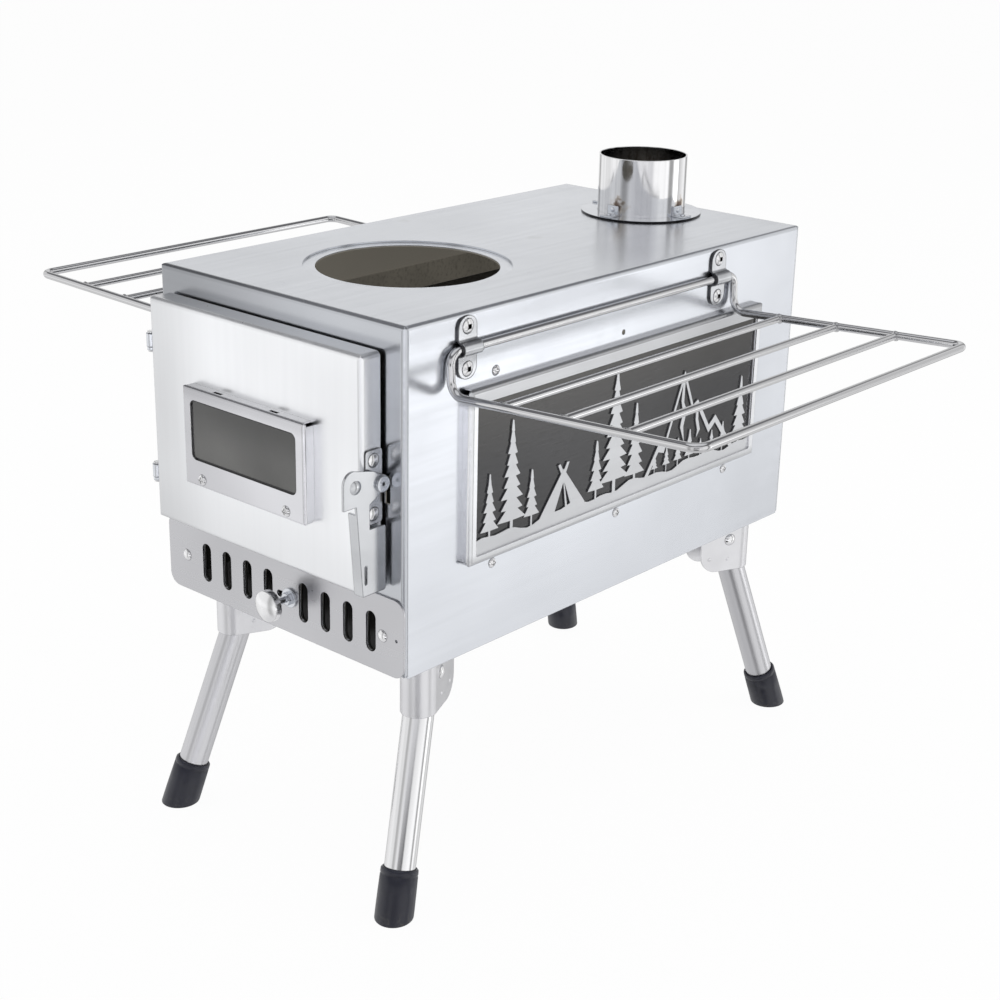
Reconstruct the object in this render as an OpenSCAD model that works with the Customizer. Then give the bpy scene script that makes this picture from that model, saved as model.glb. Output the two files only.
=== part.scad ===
// Tent wood stove: a folded sheet-steel firebox on four folding legs, with a hinged front
// door, a sliding air vent, two side windows, an open cooking hole, a flue collar and two
// wire shelves. Millimetres, +Z up, floor at z = 0, the door faces -Y.

/* [Firebox] */
// Width of the firebox
body_w = 204; // [200:1:230]
// Depth of the firebox, front to rear
body_d = 376; // [372:1:410]
// Height of the firebox
body_h = 205; // [203:1:230]
// How far the firebox sits behind the middle of the whole footprint
body_shift = 5; // [0:1:10]
// Thickness of the sheet steel
sheet = 1.2; // [1:0.1:1.4]
// Outer radius of the folds
bend_r = 3; // [2.5:0.1:3.5]
// Depth of the flanges on the front pan, the rear pan and the base pan
flange_d = 12; // [8:1:14]

/* [Door] */
// Distance from the left side of the firebox in to the door
door_left_in = 9.5; // [8:0.5:12]
// Distance from the right side of the firebox in to the door
door_right_in = 16; // [14:0.5:18]
// Height of the door's lower edge above the bottom of the firebox
door_bottom = 51.5; // [50.5:0.5:54]
// Depth of the door pan
door_d = 14.6; // [13:0.2:16.6]
// Distance from the top of the firebox down to the door
door_top = 15.5; // [13:0.5:17]
// Gap between the door pan and the front pan
door_gap = 2.2; // [1:0.1:2.6]
// How far the door laps over the edge of the fire opening
door_lap = 17; // [15:0.5:20]
// Width of the rope gasket behind the door
gasket_w = 8; // [6:0.5:9]
// Gap left between the gasket and the front pan
gasket_gap = 0.3; // [0.2:0.1:0.4]
// Depth from the rear edge of the door pan to its inner plate
liner_inset = 4; // [3:0.5:6]
// Gap between the inner plate and the door pan's sides
liner_gap = 1; // [0.8:0.1:1.5]

/* [Door window] */
// Width of the raised cover over the door glass
cover_w = 104; // [100:1:110]
// Height of the raised cover
cover_h = 60; // [58:1:64]
// How far the cover stands out of the door
cover_proud = 7.5; // [7:0.5:9]
// How far the middle of the cover lies below the middle of the door
cover_drop = 5.5; // [3:0.5:7]
// Width of the viewing hole in the door
view_w = 90.5; // [86:0.5:92]
// Height of the viewing hole in the door
view_h = 36.5; // [32:0.5:38]
// How far the viewing hole lies above the middle of the cover
view_rise = 4.5; // [4:0.5:6]
// Corner radius of the viewing hole
view_r = 4; // [2:0.5:6]
// Margin of glass behind the cover around the viewing hole
glass_lap = 3; // [2:0.5:4]
// Thickness of the glass panes
glass_t = 3.5; // [3:0.1:4]
// Distance of the cover's two screws from its middle
cover_screw_x = 36.3; // [30:0.5:42]
// Height of the cover's two screws above its lower edge
cover_screw_z = 5.2; // [5:0.1:6]
// Radius of the cover's folds
cover_fold = 2; // [1.5:0.1:2.5]

/* [Door hinge and latch] */
// Radius of the hinge pins
hinge_pin_r = 1.5; // [1.2:0.1:1.8]
// Outer radius of the hinge barrels
barrel_r = 3; // [2.8:0.1:3.5]
// Length of a hinge barrel
barrel_h = 8; // [6:1:10]
// Distance of the upper hinge below the top of the door
hinge_in_upper = 31.5; // [24:0.5:38]
// Distance of the lower hinge above the bottom of the door
hinge_in_lower = 24.5; // [20:0.5:32]
// Distance of the hinge axis in front of the front pan
hinge_out = 13.5; // [12:0.5:15]
// Running clearance on each side of a pin in its hole
run_gap = 0.08; // [0.05:0.01:0.1]
// Distance of the latch pivot below the middle of the door
latch_drop = 4; // [0:0.5:12]
// Distance of the latch pivot in front of the front pan
latch_out = 5.3; // [4.8:0.1:6]
// Reach of the latch lever in front of its pivot
latch_reach = 28.4; // [24:0.2:32]
// Height of the latch lever's ear
latch_ear_h = 21; // [20:0.2:23]
// Distance of the lower end of the latch handle below the pivot
handle_l = 63; // [56:0.5:66]
// Width of the latch handle's folded front
handle_w = 7; // [5:0.5:9]
// Length of the slot in the latch handle
handle_slot_l = 11.3; // [8:0.1:16]
// Length of the tongue behind the latch pivot
tongue_l = 11; // [9:0.5:12]
// Height of the tongue
tongue_h = 5; // [4:0.5:6]
// Length of the riveted latch plate
latch_plate_h = 43; // [40:1:46]
// Distance between the latch plate's two rivets
latch_rivet_pitch = 31; // [28:1:32]
// Radius of the latch pivot's shaft
latch_pin_r = 2; // [1.8:0.1:2.2]
// Radius of the latch pivot's ring
latch_ring_r = 4.6; // [4:0.1:4.8]

/* [Air vent] */
// How far the vent plate stands out past each side of the firebox
vent_over = 1; // [0:0.1:1.5]
// Height of the vent plate
vent_h = 47.5; // [44:0.5:48]
// Corner radius of the vent plate
vent_r = 8; // [5:0.5:10]
// Height of the vent slots' middle above the bottom of the firebox
slot_z = 23; // [22.5:0.5:24]
// Width of a vent slot
slot_w = 8; // [6:0.5:9]
// Height of a vent slot
slot_h = 25; // [20:0.5:27]
// Distance from the right side of the firebox to the middle of the last vent slot
slot_end = 25.4; // [25:0.1:28]
// Number of vent slots on each side of the knob
slot_n = 4; // [2:1:4]
// Distance from the knob's middle line to the first vent slot
slot_first = 15.4; // [14:0.1:16]
// Sideways offset of the vent slots' middle line
slot_x = 4.8; // [0:0.1:5]
// Travel of the air slider from open to closed
slide_travel = 9.4; // [8:0.1:10]
// Gap on each face of the air slider
slide_gap = 0.1; // [0.05:0.01:0.2]
// How far the air slider laps over the ends of the vent slots
slide_lap = 3.5; // [2:0.5:4]
// Margin of the air slider beyond its outer slots
slide_margin = 2.5; // [2:0.5:5]
// Width of the rails that hold the air slider
rail_w = 3; // [2:0.5:4]
// Radius of the knob's stud
stud_r = 2; // [1.5:0.1:2.5]
// Sideways place of the stud with the vent open
stud_x = 8.9; // [6:0.1:9]
// Radius of the air knob
knob_r = 9.5; // [8:0.5:10]
// Thickness of the air knob
knob_t = 8; // [6:0.5:9]
// Distance of the air knob from the vent plate
knob_out = 14; // [10:0.5:16]
// Radius of the lock nut behind the air knob
nut_r = 6; // [5:0.5:6]
// Distance of the vent plate's rivets from the sides of the firebox
vent_rivet_in = 16; // [12:0.5:16.5]

/* [Cooking hole and flue] */
// Radius of the cooking hole
cook_r = 55.5; // [50:0.5:57]
// Radius of the recess around the cooking hole
cook_seat_r = 63; // [60:0.5:66]
// Distance of the cooking hole's middle behind the front
cook_y = 106; // [98:1:112]
// Outer radius of the flue collar
flue_r = 30; // [27.5:0.5:32]
// Height of the flue collar above the firebox
flue_h = 39.5; // [30:0.5:50]
// Wall of the flue collar
flue_t = 1; // [0.8:0.1:1.2]
// Distance of the flue's middle in front of the rear
flue_y = 42; // [42:0.5:50]
// Radius of the ring plate around the collar
flue_ring_r = 41; // [38:0.5:41]
// Depth of the collar below the top sheet
flue_drop = 6; // [4:0.5:8]
// Width of the four tabs that hold the collar
flue_tab_w = 9; // [6:0.5:10]

/* [Side windows] */
// Distance from the window frame to the front and the rear
win_side = 46; // [43:0.5:50]
// Distance from the top of the firebox down to the window frame
win_over = 43.5; // [43:0.5:48]
// Height of the window frame's lower edge above the bottom of the firebox
win_z = 56; // [54:0.5:57]
// Distance of the window's middle behind the firebox's middle
win_y = 0; // [-3:1:3]
// How far the window frame stands out of the side
win_proud = 6; // [5.5:0.1:7]
// Border of the window frame at its two ends
win_end = 6; // [5:0.5:8]
// Border of the window frame at the top
win_top = 9; // [7:0.5:10]
// Border of the window frame at the bottom
win_bottom = 5.5; // [4:0.5:7]
// Radius of the window frame's folds
win_fold = 3; // [2:0.5:3.5]
// Thickness of the cut-out plate in front of the glass
scene_t = 1; // [0.8:0.1:1.2]
// Thickness of the side windows' panes
side_glass_t = 3; // [2.6:0.1:3.2]
// Distance of the end screws of a side window from the frame's ends
win_screw_in = 26.5; // [24:0.5:29]
// Distance of the window screws outside the frame's edge
win_screw_out = 5.4; // [5:0.1:6]
// Height of the screws' shafts inside the firebox
screw_in = 3; // [2:0.5:4]

/* [Silhouette] */
// Gap above the tallest conifer
tree_gap = 5; // [3:0.5:20]
// Gap above the mountain's peak
peak_gap = 21; // [10:0.5:30]
// Height of the little tent
tent_h = 26; // [20:1:32]
// Height of the ground at the bottom of the picture
ground_h = 8; // [6:0.5:12]

/* [Shelves] */
// Length of the shelf's arms from the hinge rod
shelf_l = 165; // [140:1:170]
// Drop from the hinge rod to the arms
shelf_drop = 24.4; // [22:0.2:25]
// Radius of the shelf's frame wire
wire_r = 2.5; // [2:0.1:2.6]
// Radius of the bends beside the saddles and at the shelf's corners
corner_r = 7; // [5:0.5:8]
// Radius of the bends at the foot of the drops
heel_r = 9; // [9:0.5:11]
// Gap between a saddle and the start of the bend
saddle_side = 0.9; // [0.5:0.1:2]
// Radius of the shelf's cross bars
bar_r = 2.2; // [1.8:0.1:2.4]
// Angle by which the right shelf's arms rise
rise_right = 3.5; // [1:0.1:5]
// Angle by which the left shelf's arms rise
rise_left = 1.1; // [1:0.1:5]
// Distance of the first cross bar from the hinge rod
bar_first = 36; // [30:1:40]
// Distance from one cross bar to the next
bar_pitch = 41.5; // [30:0.5:42]
// Height of the hinge rod above the window frame
rod_rise = 23.8; // [23.5:0.1:25]
// Distance of the front saddle behind the front
saddle_front = 47.5; // [46:0.5:49]
// Distance of the rear saddle in front of the rear
saddle_rear = 94; // [92.5:0.5:98]
// Length of a saddle plate
saddle_h = 36; // [32:0.5:38]
// Width of a saddle plate
saddle_w = 15; // [13:0.5:15]
// Thickness of a saddle plate
saddle_t = 1.5; // [1.2:0.1:1.8]
// How far a saddle's slopes run out above and below its round top
saddle_slope = 2; // [1:0.1:2.2]
// Distance between a saddle's two rivets
saddle_rivet_pitch = 24; // [22:0.5:26]

/* [Legs] */
// Height of the firebox above the floor
leg_h = 154; // [140:1:180]
// Distance of the leg pivots in from the sides of the firebox
leg_in = 22.9; // [20:0.1:28]
// Distance of the front leg pivots behind the front
leg_front = 39.7; // [36:0.1:44]
// Distance of the rear leg pivots in front of the rear
leg_rear = 34.2; // [33:0.1:44]
// Drop from the firebox to the leg pivots
pivot_drop = 14; // [13.5:0.1:16]
// Outward lean of the legs
leg_lean = 19.4; // [15:0.1:19.8]
// Angle by which the legs' plane is turned towards the sides
leg_turn = 24; // [15:1:30]
// Radius of the leg tubes
tube_r = 9.5; // [8.5:0.1:10]
// Wall of the leg tubes
tube_t = 1.2; // [1:0.1:1.5]
// Height of a leg bracket
bracket_h = 37; // [34:0.5:38]
// Length of a bracket's cheeks behind the pivot
bracket_back = 22.5; // [18:0.5:26]
// Clearance around a tube in its bracket
leg_gap = 0.3; // [0.2:0.1:0.5]
// Radius of the pivot rivets
pivot_r = 2.5; // [2:0.1:3]
// Outer radius of the rubber foot caps
cap_r = 11.7; // [11.5:0.1:12.2]
// Length of a foot cap along the leg
cap_l = 30; // [24:0.5:34]

/* [Inside] */
// Height of the fire grate above the base pan
grate_z = 12; // [10:0.5:16]
// Gap between the fire grate and the side walls
grate_side = 25.8; // [20:0.1:30]
// Distance of the fire grate from the front and the rear
grate_end = 38; // [33:0.5:48]
// Drop from the top sheet to the smoke baffle
baffle_drop = 28; // [26:0.5:29]
// Length of the smoke baffle
baffle_l = 90; // [80:1:95]
// Height of the baffle's side flanges
baffle_flange = 10; // [8:0.5:12]

/* [Rivets] */
// Radius of the rivets' shanks
rivet_r = 2; // [1.8:0.1:2.2]
// Radius of the vent plate's rivet heads
rivet_head_r = 3.8; // [3.4:0.1:4]
// Height of the rivet heads
rivet_head_h = 1.8; // [1.4:0.1:2]
// Radius of the pivot rivets' heads
pivot_head_r = 4.2; // [3.8:0.1:4.6]

/* [Hidden] */
$fn = 64;
eps = 0.05;
xr = body_w / 2;
xi = xr - sheet;
yf = body_shift - body_d / 2;
yr = body_shift + body_d / 2;
zb = leg_h;
zt = leg_h + body_h;
fold_r = bend_r - sheet;

door_w = body_w - door_left_in - door_right_in;
door_h = body_h - door_top - door_bottom;
door_x = (door_left_in - door_right_in) / 2;
door_zc = zb + door_bottom + door_h / 2;
door_back = yf - door_gap;
door_face = door_back - door_d;
open_w = door_w - 2 * door_lap;
open_h = door_h - 2 * door_lap;
liner_back = door_back - liner_inset;
cover_zc = door_zc - cover_drop;
view_z = cover_zc + view_rise;
cover_face = door_face - cover_proud;
door_left = door_x - door_w / 2;
door_right = door_x + door_w / 2;

hinge_x = door_left - barrel_r;
hinge_y = yf - hinge_out;
hinge_zs = [door_zc + door_h / 2 - hinge_in_upper, door_zc - door_h / 2 + hinge_in_lower];
lug_t = 2;
lug_r = barrel_r - 0.3;

latch_y = yf - latch_out;
latch_zc = door_zc - latch_drop;
latch_x0 = door_right + sheet;
lever_t = 1.5;
lever_x0 = latch_x0 + 1.2;

vent_w = body_w + 2 * vent_over;
vent_rivet_x = xr - vent_rivet_in;
slot_pitch = (xr - slot_end - slot_x - slot_first) / (slot_n - 1);
slots = [for (side = [-1, 1], i = [0 : slot_n - 1]) slot_x + side * (slot_first + i * slot_pitch)];
slot_span = slot_first + (slot_n - 1) * slot_pitch + slot_w / 2;
slider_y0 = yf + sheet + slide_gap;
slider_h = slot_h + 2 * slide_lap;
slider_w = 2 * (slot_span + slide_margin) + slide_travel;
slider_t = 1;
rail_t = slider_t + 2 * slide_gap;

cook_yc = yf + cook_y;
flue_yc = yr - flue_y;

win_w = body_d - 2 * win_side;
win_h = body_h - win_z - win_over;
win_screw_w = win_w - 2 * win_screw_in;
win_x = xr + win_proud;
win_zc = zb + win_z + win_h / 2;
win_yc = body_shift + win_y;
pane_w = win_w - 2 * win_end;
pane_h = win_h - win_top - win_bottom;
pane_z = zb + win_z + win_bottom + pane_h / 2;
pane_lap = min(win_end, win_bottom) - win_fold - 0.1;
gasket_t = win_proud - sheet - scene_t - side_glass_t;

tree_h = pane_h - ground_h - tree_gap;
peak_h = pane_h - ground_h - peak_gap;

saddle_pitch = body_d - saddle_front - saddle_rear;
rod_r_gap = wire_r + run_gap;
rod_x = xr + rod_r_gap + 0.1;
rod_zc = zb + win_z + win_h + rod_rise;
shelf_w = saddle_pitch + saddle_w + 2 * (corner_r + saddle_side);
saddle_mid = yf + saddle_front + saddle_pitch / 2;

leg_x = xr - leg_in;
pivot_z = zb - pivot_drop;
cheek = tube_r + leg_gap;
leg_run = leg_h - pivot_drop;
leg_len = leg_run / cos(leg_lean);
nose_y = (bracket_h - pivot_drop) * tan(leg_lean) + tube_r / cos(leg_lean) + leg_gap - cheek;

steel = "silver";
dark = "dimgray";

// ---------- shared shapes ----------

// A centred rectangle with round corners.
module round_rect(w, h, r) {
    square([w - 2 * r, h], center = true);
    square([w, h - 2 * r], center = true);
    for (x = [-1, 1], y = [-1, 1])
        translate([x * (w / 2 - r), y * (h / 2 - r)]) circle(r);
}

// An upright slot with round ends.
module slot(w, h) {
    square([w, h - w], center = true);
    for (y = [-1, 1])
        translate([0, y * (h - w) / 2]) circle(w / 2);
}

// A drawing in the XZ plane, raised from y towards -Y.
module on_front(y, depth) {
    translate([0, y, 0]) rotate([90, 0, 0]) linear_extrude(depth) children();
}

// A drawing of (y, z) on the side of the firebox, raised from x outwards.
module on_side(x, depth) {
    translate([x, 0, 0]) rotate([90, 0, 90]) linear_extrude(depth) children();
}

// A block whose twelve edges are folded round.
module round_box(w, d, h, r) {
    intersection() {
        translate([0, 0, -h / 2]) linear_extrude(h) round_rect(w, d, r);
        translate([0, d / 2, 0]) rotate([90, 0, 0]) linear_extrude(d) round_rect(w, h, r);
        translate([-w / 2, 0, 0]) rotate([90, 0, 90]) linear_extrude(w) round_rect(d, h, r);
    }
}

// A folded pan: its face lies on y = 0 and looks towards -Y, its flanges run towards +Y.
module pan(w, h, d, r) {
    long = d + r;
    difference() {
        intersection() {
            translate([0, long, 0]) round_box(w, 2 * long, h, r);
            translate([-w, -1, -h]) cube([2 * w, d + 1, 2 * h]);
        }
        translate([0, long, 0]) round_box(w - 2 * sheet, 2 * (long - sheet), h - 2 * sheet, r - sheet);
    }
}

// The mirror image for the left side, where side is -1.
module to_side(side) {
    mirror([side < 0 ? 1 : 0, 0, 0]) children();
}

// A domed rivet head on the XY plane, raised along +Z.
module dome(r, h) {
    big = (r * r + h * h) / (2 * h);
    intersection() {
        translate([0, 0, h - big]) sphere(big, $fn = 64);
        cylinder(r = r + 1, h = h + 1);
    }
}

// A pan-head screw with a cross recess: head along +Z, shaft along -Z.
module screw(head_r, shaft_r, shaft_l) {
    difference() {
        dome(head_r, head_r * 0.55);
        for (a = [0, 90])
            rotate([0, 0, a]) translate([-head_r * 0.55, -0.45, head_r * 0.3])
                cube([head_r * 1.1, 0.9, head_r]);
    }
    translate([0, 0, -shaft_l]) cylinder(r = shaft_r, h = shaft_l);
}

// ---------- firebox ----------

// The front or rear end of the firebox as a shallow pan with flanges inside the shell.
module end_pan() {
    pan(body_w, body_h, bend_r, bend_r);
    translate([0, flange_d, 0]) rotate([90, 0, 0]) linear_extrude(flange_d - bend_r + eps)
        difference() {
            round_rect(2 * xi - 2 * eps, body_h - 2 * sheet - 2 * eps, bend_r);
            round_rect(2 * (xi - sheet), body_h - 4 * sheet, fold_r);
        }
    translate([0, bend_r, 0]) rotate([90, 0, 0]) linear_extrude(bend_r - sheet)
        difference() {
            round_rect(2 * xi, body_h - 2 * sheet, fold_r);
            round_rect(2 * (xi - sheet), body_h - 4 * sheet, fold_r);
        }
}

module body_shell() {
    color(steel) difference() {
        translate([0, yr - bend_r, zb + body_h / 2]) rotate([90, 0, 0])
            linear_extrude(body_d - 2 * bend_r) difference() {
                union() {
                    round_rect(body_w, body_h, bend_r);
                    translate([-xr, -body_h / 2]) square([body_w, body_h / 2]);
                }
                round_rect(2 * xi, body_h - 2 * sheet, fold_r);
                translate([-xi, -body_h / 2 - 1]) square([2 * xi, body_h / 2 + 1]);
            }
        translate([0, cook_yc, zt - 2 * sheet]) cylinder(r = cook_seat_r, h = 3 * sheet);
        translate([0, flue_yc, zt - 2 * sheet]) cylinder(r = flue_r + eps, h = 3 * sheet);
        for (side = [-1, 1]) to_side(side) {
            on_side(xi - 1, sheet + 2) {
                translate([win_yc, pane_z]) round_rect(pane_w, pane_h, 2);
                at_window_screws() circle(screw_hole_r);
                translate([win_yc, win_screw_z(1)]) circle(screw_hole_r);
            }
            for (y = saddle_ys(), z = [-1, 1])
                translate([xi - 1, y, rod_zc + z * saddle_rivet_pitch / 2])
                    rotate([0, 90, 0]) cylinder(r = rivet_r + eps, h = sheet + 2);
        }
    }
}

module front_pan() {
    color(steel) difference() {
        translate([0, yf, zb + body_h / 2]) end_pan();
        on_front(yf + 2 * sheet, 3 * sheet) {
            translate([door_x, door_zc]) round_rect(open_w, open_h, view_r);
            for (x = slots) translate([x, zb + slot_z]) slot(slot_w, slot_h);
            stud_slot();
            for (x = [-1, 1]) translate([x * vent_rivet_x, zb + slot_z]) circle(rivet_r + eps);
        }
        translate([lever_x0 - 1.2, yf - 1, latch_zc - tongue_l - tongue_h / 2])
            cube([lever_t + 2.4, sheet + 2, tongue_l + tongue_h + 0.3]);
    }
}

module rear_pan() {
    color(steel) translate([0, yr, zb + body_h / 2]) mirror([0, 1, 0]) end_pan();
}

// The base pan lies on the end pans' lower flanges and stands up against the shell.
module base_pan() {
    w = 2 * xi;
    d = body_d - 2 * flange_d;
    color(steel) difference() {
        translate([-xi, yf + flange_d, zb]) cube([w, d, flange_d]);
        translate([-xi + sheet, yf + flange_d - 1, zb + sheet]) cube([w - 2 * sheet, d + 2, flange_d]);
    }
}

// The pressed ring under the top sheet that leaves a recess for a pot or a lid.
module cook_ring() {
    color(steel) translate([0, cook_yc, zt - 2 * sheet]) difference() {
        cylinder(r = cook_seat_r + 5, h = sheet);
        translate([0, 0, -1]) cylinder(r = cook_r, h = sheet + 2);
    }
}

// ---------- flue ----------

module flue_ring() {
    color(steel) translate([0, flue_yc, zt]) difference() {
        cylinder(r = flue_ring_r, h = sheet);
        translate([0, 0, -1]) cylinder(r = flue_r + eps, h = sheet + 2);
    }
}

module flue_collar() {
    color(steel) translate([0, flue_yc, zt - flue_drop]) difference() {
        cylinder(r = flue_r, h = flue_drop + flue_h);
        translate([0, 0, -1]) cylinder(r = flue_r - flue_t, h = flue_drop + flue_h + 2);
    }
}

// Four small angles hold the collar: a rivet into the ring and a spot weld on the collar.
module flue_tabs() {
    foot = flue_ring_r - flue_r - 2;
    color(steel) translate([0, flue_yc, zt + sheet]) for (a = [0, 90, 180, 270]) rotate([0, 0, a]) {
        translate([flue_r + eps, -flue_tab_w / 2, 0]) cube([foot, flue_tab_w, sheet]);
        difference() {
            translate([flue_r - 2, -flue_tab_w / 2, 0]) cube([2 + sheet, flue_tab_w, 7]);
            translate([0, 0, -1]) cylinder(r = flue_r + eps, h = 10);
        }
        translate([flue_r + foot * 0.6, 0, sheet]) dome(2, 1);
        translate([flue_r + sheet - 0.1, 0, 4.2]) rotate([0, 90, 0]) dome(1.8, 0.8);
    }
}

// ---------- inside the firebox ----------

// A plate under the flue that makes the smoke travel forwards first.
module smoke_baffle() {
    z = zt - baffle_drop;
    y0 = yr - flange_d - baffle_l;
    color(dark) difference() {
        translate([-xi, y0, z]) cube([2 * xi, baffle_l, baffle_flange]);
        translate([-xi + sheet, y0 - 1, z + sheet])
            cube([2 * (xi - sheet), baffle_l + 2, baffle_flange]);
    }
}

module fire_grate() {
    w = 6;
    grate_w = 2 * (xi - grate_side);
    grate_l = body_d - 2 * grate_end;
    z = zb + sheet + grate_z;
    n = floor((grate_l - 30) / 22);
    color(dark) translate([0, body_shift, 0]) {
        difference() {
            translate([-grate_w / 2, -grate_l / 2, z]) cube([grate_w, grate_l, 2]);
            for (i = [0 : n - 1], x = [-1, 1])
                translate([x * grate_w / 4, (i - (n - 1) / 2) * 22, z - 1]) linear_extrude(4)
                    rotate([0, 0, 90]) slot(w, grate_w / 2 - 14);
        }
        for (x = [-1, 1])
            translate([x * (grate_w / 2 - 1) - 1, -grate_l / 2, zb + sheet]) cube([2, grate_l, grate_z]);
    }
}

// ---------- air vent ----------

module stud_slot() {
    r = stud_r + run_gap;
    translate([stud_x - slide_travel / 2, zb + slot_z]) rotate([0, 0, 90])
        slot(2 * r, slide_travel + 2 * r + 0.4);
}

module vent_plate() {
    color(steel) on_front(yf, sheet) difference() {
        translate([0, zb + vent_h / 2]) round_rect(vent_w, vent_h, vent_r);
        for (x = slots) translate([x, zb + slot_z]) slot(slot_w, slot_h);
        stud_slot();
        for (x = [-1, 1]) translate([x * vent_rivet_x, zb + slot_z]) circle(rivet_r + eps);
        translate([xr - 5, zb + slot_z]) circle(1);
    }
}

module vent_rivets() {
    color(steel) for (x = [-1, 1]) translate([x * vent_rivet_x, yf - sheet, zb + slot_z]) {
        rotate([90, 0, 0]) dome(rivet_head_r, rivet_head_h);
        rotate([-90, 0, 0]) cylinder(r = rivet_r, h = 2 * sheet);
    }
}

// The slider hangs in two folded rails behind the front pan.
module slider_rails() {
    w = slider_w + slide_travel + 2;
    edge = slider_h / 2 + slide_gap;
    color(dark) for (s = [-1, 1]) {
        on_front(yf + sheet + rail_t, rail_t)
            translate([slot_x, zb + slot_z + s * (edge + rail_w / 2)]) square([w, rail_w], center = true);
        on_front(yf + 2 * sheet + rail_t, sheet)
            translate([slot_x, zb + slot_z + s * edge]) square([w, 2 * rail_w], center = true);
    }
}

module air_slider() {
    color(steel) on_front(slider_y0 + slider_t, slider_t) difference() {
        translate([slot_x + slide_travel / 2, zb + slot_z]) square([slider_w, slider_h], center = true);
        for (x = slots) translate([x, zb + slot_z]) slot(slot_w, slot_h);
        translate([stud_x, zb + slot_z]) circle(stud_r);
    }
}

module air_stud() {
    color(steel) translate([stud_x, yf - sheet, zb + slot_z]) {
        rotate([90, 0, 0]) cylinder(r = stud_r, h = knob_out + 1);
        rotate([-90, 0, 0]) cylinder(r = stud_r, h = 2 * sheet + rail_t);
        translate([0, 2 * sheet + rail_t - slide_gap, 0]) rotate([-90, 0, 0]) cylinder(r = 4, h = 1);
        translate([0, -slide_gap, 0]) rotate([90, 0, 0]) cylinder(r = nut_r, h = 1.2);
        translate([0, -slide_gap - 1.2, 0]) rotate([90, 0, 0]) cylinder(r = nut_r - 2, h = 2.6, $fn = 6);
    }
}

module air_knob() {
    color(steel) translate([stud_x, yf - sheet - knob_out, zb + slot_z]) rotate([90, 0, 0])
        difference() {
            union() {
                translate([0, 0, 1]) cylinder(r = knob_r, h = knob_t - 4);
                cylinder(r1 = knob_r - 1, r2 = knob_r, h = 1);
                translate([0, 0, knob_t - 3]) dome(knob_r, 3);
            }
            translate([0, 0, -1]) cylinder(r = stud_r, h = 2);
        }
}

// ---------- door ----------

module door_pan() {
    color(steel) difference() {
        translate([door_x, door_face, door_zc]) pan(door_w, door_h, door_d, bend_r);
        on_front(door_face + 3 * sheet, 4 * sheet) {
            translate([door_x, view_z]) round_rect(view_w, view_h, view_r);
            for (x = [-1, 1]) translate([door_x + x * cover_screw_x, cover_screw_zc()]) circle(screw_hole_r);
        }
        for (z = [-1, 1])
            translate([door_right - 2 * sheet, latch_rivet_y, latch_zc - 2 + z * latch_rivet_pitch / 2])
                rotate([0, 90, 0]) cylinder(r = rivet_r + eps, h = 4 * sheet);
    }
}

latch_rivet_y = door_back - 6.6;
screw_hole_r = 1.6;
screw_r = 1.5;

function cover_screw_zc() = cover_zc - cover_h / 2 + cover_screw_z;

// The inner plate of the door, with folded edges that reach the front of the pan.
module door_liner() {
    w = door_w - 2 * (sheet + liner_gap);
    h = door_h - 2 * (sheet + liner_gap);
    color(dark) difference() {
        on_front(liner_back, sheet) translate([door_x, door_zc]) round_rect(w, h, bend_r);
        on_front(liner_back + 1, sheet + 2) translate([door_x, view_z]) round_rect(view_w, view_h, view_r);
    }
    color(dark) for (x = [-1, 1])
        translate([door_x + x * (w / 2 - 2 - sheet / 2) - sheet / 2, door_face + sheet, door_zc - h / 2 + 20])
            cube([sheet, liner_back - sheet - door_face - sheet, h - 40]);
}

module door_gasket() {
    t = yf - gasket_gap - liner_back;
    color("black") on_front(yf - gasket_gap, t) translate([door_x, door_zc]) difference() {
        round_rect(open_w + 2 * gasket_w, open_h + 2 * gasket_w, view_r + gasket_w);
        round_rect(open_w + 2, open_h + 2, view_r);
    }
}

glass_w = view_w + 2 * glass_lap;
glass_h = view_h + 2 * glass_lap;
glass_y = cover_face + sheet;

module door_glass() {
    color("darkslategray", 0.6) on_front(glass_y + glass_t, glass_t)
        translate([door_x, view_z]) round_rect(glass_w, glass_h, view_r);
}

module door_glass_gasket() {
    color("black") on_front(door_face, door_face - glass_y - glass_t) translate([door_x, view_z]) difference() {
        round_rect(glass_w, glass_h, view_r);
        round_rect(view_w + 1, view_h + 1, view_r);
    }
}

module door_cover() {
    relief = 2.2;
    color(steel) difference() {
        translate([door_x, cover_face, cover_zc]) pan(cover_w, cover_h, cover_proud, cover_fold);
        on_front(door_face + 1, cover_proud + 2) {
            translate([door_x, view_z]) round_rect(view_w, view_h, view_r);
            for (x = [-1, 1]) translate([door_x + x * cover_screw_x, cover_screw_zc()]) circle(screw_hole_r);
        }
        for (x = [-1, 1], z = [-1, 1])
            translate([door_x + x * cover_w / 2, door_face, cover_zc + z * cover_h / 2])
                cube([2 * relief, 2 * (cover_proud - 2), 2 * relief], center = true);
        for (x = [-1, 1])
            translate([door_x + x * 24, (door_face + cover_face) / 2, cover_zc + cover_h / 2])
                cube([7, 2.4, 4], center = true);
    }
}

module door_screws() {
    color(steel) for (x = [-1, 1])
        translate([door_x + x * cover_screw_x, cover_face, cover_screw_zc()]) rotate([90, 0, 0]) {
            screw(3.4, screw_r, cover_proud + sheet + 3);
            translate([0, 0, -cover_proud - sheet - 2.4]) difference() {
                cylinder(r = 3.2, h = 2.4, $fn = 6);
                translate([0, 0, -1]) cylinder(r = screw_r, h = 5);
            }
        }
}

// ---------- door hinge ----------

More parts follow.
